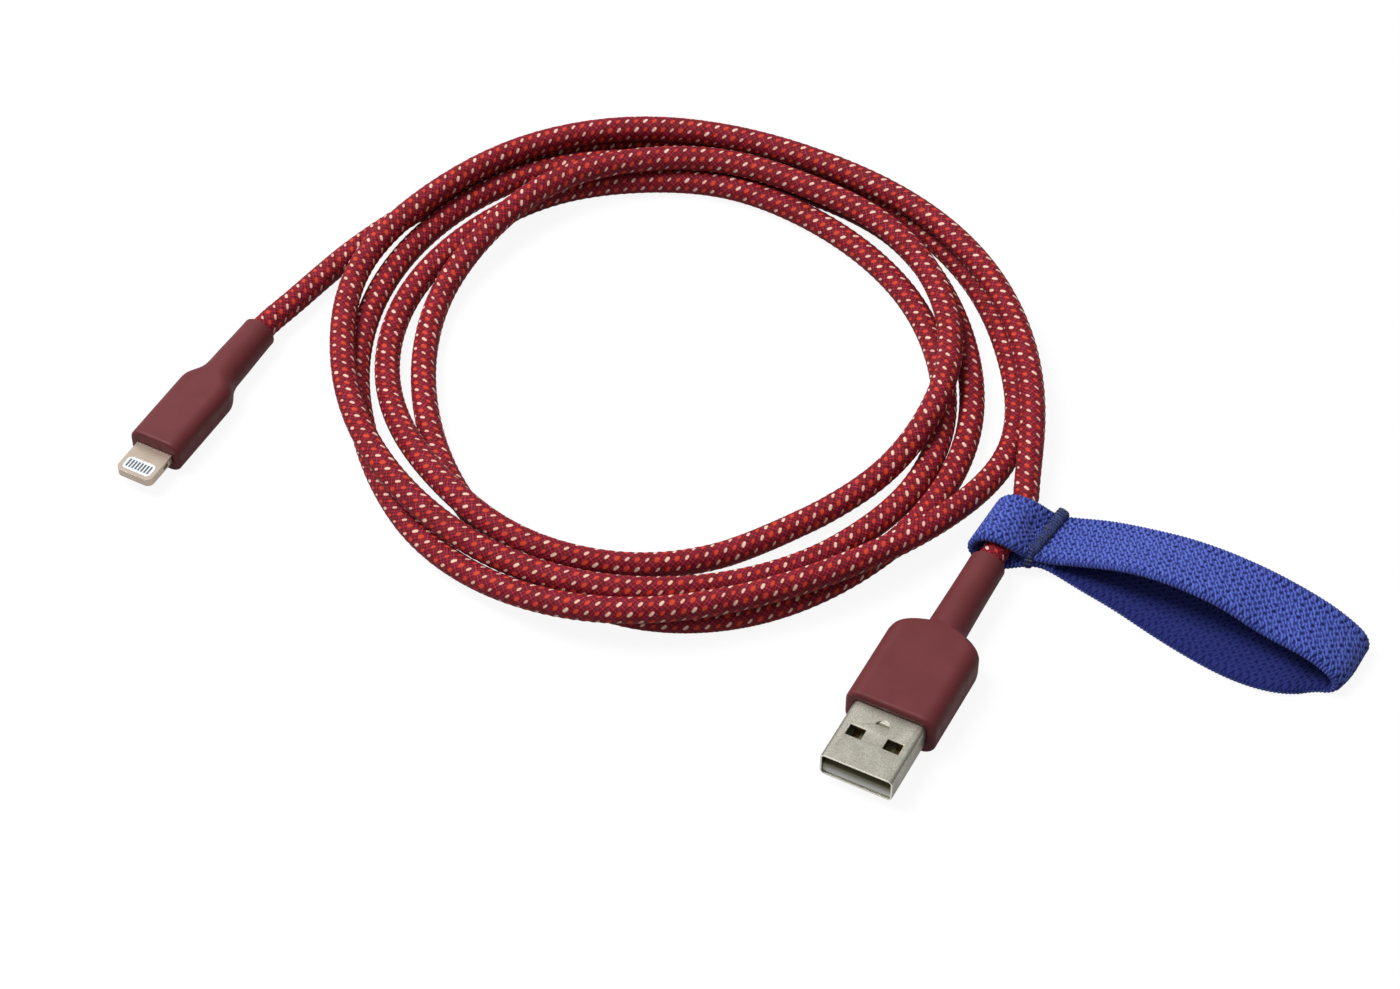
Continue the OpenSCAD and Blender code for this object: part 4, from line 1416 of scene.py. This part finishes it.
@dataclass
class ElasticStrap:
    """One knitted elastic band, sewn to itself beside the cord, with a collar and a long loop.

    The closed middle line holds rows, [along, up, across, tilt]: from the seam out along the upper
    run, round the far end, back along the lower run and round the cord.
    """

    width: float = 10.8
    thickness: float = 1.3
    sewn_thickness: float = 1.16
    depth: float = 0.24
    face_share: float = 0.7
    edge_swell: float = 0.1
    swell_from: float = 0.6
    step: float = 0.16
    samples: int = 6000
    face_points: int = 62
    edge_points: int = 9
    edge_round: float = 0.6
    seam_along: float = 5.4
    seam_reach: float = 2.0
    seam_below: float = 4.2
    pinch_along: tuple[float, float] = (3.6, 1.1)
    pinch_across: tuple[float, float] = (1.2, 1.5)
    pinch_depth: float = 0.7
    pinch_above: float = 4.0
    fold_from: float = 50.0
    fold_length: float = 8.0
    fold_depth: float = 1.1
    fold_side: float = 3.6
    fold_width: float = 5.8
    # The lower layer's inner face gets painted shade past this length and below this height.
    inside_shade_from: float = 9.0
    inside_shade_below: float = 1.7
    bend_from: Point = (5.0, 2.0, 2.7)
    bend_to: Point = (8.0, 2.0, 2.7)
    knit: Knit = Knit()
    middle_line: list[Station] = field(
        default_factory=lambda: [
            (5.4, 3.3, 2.0, 0), (7.0, 3.05, 2.6, 0), (9.6, 3.4, 3.3, 0), (13.0, 4.4, 3.8, 0.1),
            (19.5, 6.7, 3.9, 0.8), (26.0, 8.3, 3.9, 0.8), (31.0, 8.8, 3.9, 0.4),
            (35.0, 8.8, 3.9, 0), (39.0, 8.4, 3.9, -0.7), (43.0, 7.6, 3.9, -1.8),
            (48.0, 6.9, 3.8, -1.6), (52.0, 6.1, 3.7, -1.0), (55.4, 4.8, 3.6, -0.6),
            (57.5, 3.1, 3.5, -0.3), (57.75, 1.6, 3.4, 0), (56.2, 0.67, 3.1, 0),
            (51.0, 0.95, 0.0, -0.6), (44.5, 1.35, -1.8, -1.4), (35.0, 1.45, -1.4, -1.6),
            (26.0, 1.2, 0.3, -1.1), (20.0, 1.0, 1.6, -0.6), (13.5, 0.9, 2.6, -0.3),
            (9.8, 1.1, 3.0, 0), (7.2, 1.75, 2.6, 0), (5.4, 2.1, 1.6, 0), (3.6, 1.95, 0.5, 0),
            (1.9, 1.5, -0.3, 0), (0.05, 1.0, -0.7, 0), (-2.4, 1.9, -1.0, 0),
            (-3.6, 4.0, -1.3, 0), (-2.6, 6.15, -1.0, 0), (0.0, 7.15, -0.7, 0),
            (2.3, 6.3, 0.0, 0), (4.0, 4.6, 1.0, 0),
        ]
    )

    def section(self) -> tuple[np.ndarray, np.ndarray]:
        """Returns the band's cross-section: places across, and shares of the half thickness."""
        flat = self.width / 2 - self.edge_round
        face = np.linspace(-flat, flat, self.face_points)
        bend = np.linspace(-np.pi / 2, np.pi / 2, self.edge_points + 2)[1:-1]
        round_off = flat + self.edge_round * np.cos(bend)
        return (
            np.r_[face, round_off, face[::-1], -round_off],
            np.r_[np.ones(len(face)), -np.sin(bend), -np.ones(len(face)), np.sin(bend)],
        )

    def centre(self) -> tuple[np.ndarray, np.ndarray]:
        """Returns the closed middle line at even steps, and its tilt at each of them."""
        points = np.array(self.middle_line, float)[:, [0, 2, 1, 3]]
        knots = running_length(np.vstack([points, points[:1]])[:, :3])
        at = np.linspace(0, knots[-1], self.samples)
        dense = cubic_through(knots, points, at, ring=True)
        dense[:, 2] = np.maximum(dense[:, 2], self.thickness / 2)
        rows = even_steps(dense, self.step)[:-1]
        return rows[:, :3], rows[:, 3]

    def settle(self, body: np.ndarray) -> None:
        """Pinches the band beside the seam, leans its far fold over and keeps it on the table.

        Args:
            body: Points of the band in its own frame, which are moved.
        """
        pinch = bell(body[..., 0], *self.pinch_along) * bell(body[..., 1], *self.pinch_across)
        body[..., 2] -= self.pinch_depth * pinch * (body[..., 2] > self.pinch_above)
        far = np.clip((body[..., 0] - self.fold_from) / self.fold_length, 0, 1)
        near = np.clip((self.fold_side - body[..., 1]) / self.fold_width, 0, 1)
        body[..., 0] -= self.fold_depth * far**2 * near**2
        body[..., 2] = np.maximum(body[..., 2], 0.0)

    def build(self) -> bpy.types.Object:
        """Sweeps the band round its closed middle line and returns it."""
        line, tilt = self.centre()
        count = len(line)
        length = np.arange(count + 1) * self.step
        tangent = unit_rows(np.roll(line, -1, axis=0) - np.roll(line, 1, axis=0))
        across = unit_rows(np.column_stack([np.zeros(count), np.ones(count), -tilt / self.width]))
        normal = unit_rows(np.cross(tangent * [1, 0, 1], across))
        sewn = bell(line[:, 0], self.seam_along, self.seam_reach) * (line[:, 2] < self.seam_below)
        half_t = (self.thickness - (self.thickness - self.sewn_thickness) * sewn) / 2
        ys, zs = self.section()
        lift = self.knit.height(length[:-1, None], ys[None, :], self.width / 2)
        dent_share = 1 - self.face_share + self.face_share * np.abs(zs[None, :])
        half = half_t[:, None] - self.depth * (1 - lift) * dent_share
        swell = self.edge_swell * (lift - self.swell_from) * np.sign(ys) * (np.abs(zs) < 0.9)
        body = (
            line[:, None, :] + (ys[None, :] + swell)[..., None] * across[:, None, :]
            + (zs[None, :] * half)[..., None] * normal[:, None, :]
        )
        self.settle(body)
        points = STRAP_PLACE.put(body.reshape(-1, 3))
        piece = make_piece("elastic_band", points, grid_faces(count, len(ys), True), None)

        # Marks the inner face of the loop's lower layer, which the finish darkens with painted shade.
        lower = (line[:, 0] > self.inside_shade_from) * (line[:, 2] < self.inside_shade_below)
        inside = lower[:, None] * (zs < -0.5)[None, :] * 1.0
        wide = np.r_[ys, ys[0]]
        table = [length[:, None], wide[None, :], np.pad(inside, ((0, 1), (0, 1)), mode="wrap")]
        store_on_grid(piece, "knit", np.stack(np.broadcast_arrays(*table), axis=-1))
        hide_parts("strap_collar", "strap_loop")
        dress(piece, ElasticFinish(self.knit, self.width / 2).build())
        start, end = STRAP_PLACE.put(np.array([self.bend_from, self.bend_to])) * MM
        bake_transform(piece, Body.COLLAR.value, Body.LOOP.value, tuple(start), tuple(end))
        return piece


@dataclass
class Seam:
    """The thread roll that sews the band to itself: one thread wound over both layers."""

    finish: bpy.types.Material
    path: tuple[Point, ...] = (
        (5.85, 7.95, 4.15), (5.6, 5.0, 4.0), (5.35, 2.0, 3.95), (5.1, -1.0, 3.9),
        (5.0, -3.2, 3.75), (5.2, -3.8, 3.0), (5.5, -3.8, 1.9),
    )
    roll: tuple[float, float] = (0.88, 0.58)
    pitch: float = 0.52
    thread: float = 0.46
    ring_points: int = 8
    turn_points: int = 24
    core_points: int = 2
    core_share: float = 0.9
    end_length: float = 0.7
    end_share: float = 0.75
    waves: tuple[tuple[float, float], ...] = ((0.08, 37.0), (0.06, 71.0))
    tail_from: float = 0.7
    tail_length: float = 0.15
    tail_thinner: float = 0.35

    def tube(self, line: np.ndarray, radii: np.ndarray) -> np.ndarray:
        """Sweeps rings of points round a line.

        Args:
            line: The line's points.
            radii: Radius along the band and radius up, one row for each point or for all.

        Returns:
            The points, one ring a row.
        """
        side, up = square_to(line, (1.0, 0.0, 0.0))
        ring = 2 * np.pi * np.arange(self.ring_points) / self.ring_points
        return line[:, None, :] + (
            (radii[:, :1] * np.cos(ring))[..., None] * side[:, None, :]
            + (radii[:, 1:] * np.sin(ring))[..., None] * up[:, None, :]
        )

    def fullness(self, t: np.ndarray, length: float) -> np.ndarray:
        """Gives the roll's share of its full size.

        Args:
            t: Shares of the way along the seam.
            length: Length of the seam, in millimetres.

        Returns:
            The shares: less at both ends and down the band's edge, with a slight waviness.
        """
        end = np.clip(1 - np.minimum(t, 1 - t) * length / self.end_length, 0, 1)
        wavy = 1 + sum(size * np.sin(speed * t) for size, speed in self.waves)
        tail = np.clip((t - self.tail_from) / self.tail_length, 0, 1)
        return np.sqrt(1 - self.end_share * end**2) * wavy * (1 - self.tail_thinner * tail)

    def build(self) -> bpy.types.Object:
        """Winds the thread along the seam and down over the band's near edge."""
        knots = np.array(self.path)
        at = running_length(knots)
        turns = at[-1] / self.pitch
        t = np.linspace(0, 1, int(turns * self.turn_points))
        line = cubic_through(at, knots, t * at[-1])
        side, up = square_to(line, (1.0, 0.0, 0.0))
        size = self.fullness(t, at[-1])[:, None]
        angle = (2 * np.pi * turns * t)[:, None]
        wound = line + size * (
            self.roll[0] * np.cos(angle) * side + self.roll[1] * np.sin(angle) * up
        )
        thread = self.tube(wound, np.full((1, 2), self.thread / 2))
        skip = self.turn_points // self.core_points
        core = self.tube(line[::skip], self.core_share * size[::skip] * np.array([self.roll]))
        faces = grid_faces(len(thread), self.ring_points, False).tolist()
        base = len(thread) * self.ring_points
        faces += (grid_faces(len(core), self.ring_points, False) + base).tolist()
        points = STRAP_PLACE.put(np.vstack([thread.reshape(-1, 3), core.reshape(-1, 3)]))
        piece = make_piece("seam_thread_roll", points, faces, Body.COLLAR)
        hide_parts("strap_stitching")
        return dress(piece, self.finish)


# ---------------------------------------------------------------- whole


@dataclass
class InnerPieces:
    """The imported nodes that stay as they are, inside the grips and the tongue."""

    steel: bpy.types.Material
    wire_roughness: float = 0.42

    def build(self) -> list[str]:
        """Gives each node its finish and returns the nodes' names."""
        mould = PlasticFinish("natural_polymer", tone(226, 218, 196)).build()
        board = PlasticFinish("circuit_board", tone(26, 84, 52), 0.3).build()
        chip = PlasticFinish("chip_black", tone(30, 30, 32), 0.45).build()
        finishes = {
            "charger_rear_shield": self.steel,
            "device_shield_can": self.steel,
            "charger_inner_mould": mould,
            "device_circuit_board": board,
            "device_control_chip": chip,
            "device_inner_mould": mould,
            "device_protection_chip": chip,
        }
        wires = {
            "red": tone(176, 32, 30),
            "white": tone(226, 226, 222),
            "green": tone(34, 124, 66),
            "black": tone(34, 34, 36),
        }
        for colour, paint in wires.items():
            coat = PlasticFinish(f"wire_{colour}", paint, self.wire_roughness).build()
            finishes[f"charger_wire_{colour}"] = finishes[f"device_wire_{colour}"] = coat
        for node, finish in finishes.items():
            dress_node(node, finish)
        return list(finishes)


def main() -> None:
    """Builds the studio, the cord, both plugs and the strap, and logs the cord's size."""
    logging.basicConfig(level=logging.INFO, format="%(name)s: %(message)s")
    bpy.context.scene.view_settings.view_transform = "Standard"
    studio = Studio()
    studio.place_camera()
    cord = Cord(BraidFinish().build())
    braid = cord.build()

    grip = GripFinish().build()
    steel = MetalFinish("plated_steel", tone(202, 199, 186), tone(138, 134, 120), 0.42, 0.6)
    # Painted highlight: near-white steel for the forward faces of the shell's mouth, in place of a
    # reflection of the bright table.
    rim_highlight = MetalFinish("plated_steel_painted_highlight", tone(250, 246, 234), tone(226, 220, 204), 0.5, 0.1)
    gold = MetalFinish("gilt_contact", tone(196, 164, 108), tone(150, 118, 70), 0.3, 0.2)
    nickel = MetalFinish("champagne_nickel", tone(208, 192, 176), tone(176, 156, 136), 0.36, 0.25)
    pad = MetalFinish("grey_contact", tone(112, 122, 134), tone(84, 94, 106), 0.35, 0.2)
    # The tongue's material: cream that darkens toward its top with painted shadow.
    cream = TopShadowPlasticFinish("charger_insulator", tone(226, 226, 220))
    white = PlasticFinish("white_insulator", tone(224, 228, 230))

    plated = steel.build()
    ChargerPlug(grip, plated, rim_highlight.build(), cream.build(), gold.build()).build()
    device = DevicePlug(grip, nickel.build(), white.build(), pad.build()).build()
    inner = InnerPieces(plated).build()
    cord.declare(device + [node for node in inner if node.startswith("device_")])

    ElasticStrap().build()
    Seam(ThreadFinish().build()).build()
    studio.build_table()
    studio.build_light()


if __name__ == "__main__":
    main()
    bpy.context.view_layer.update()
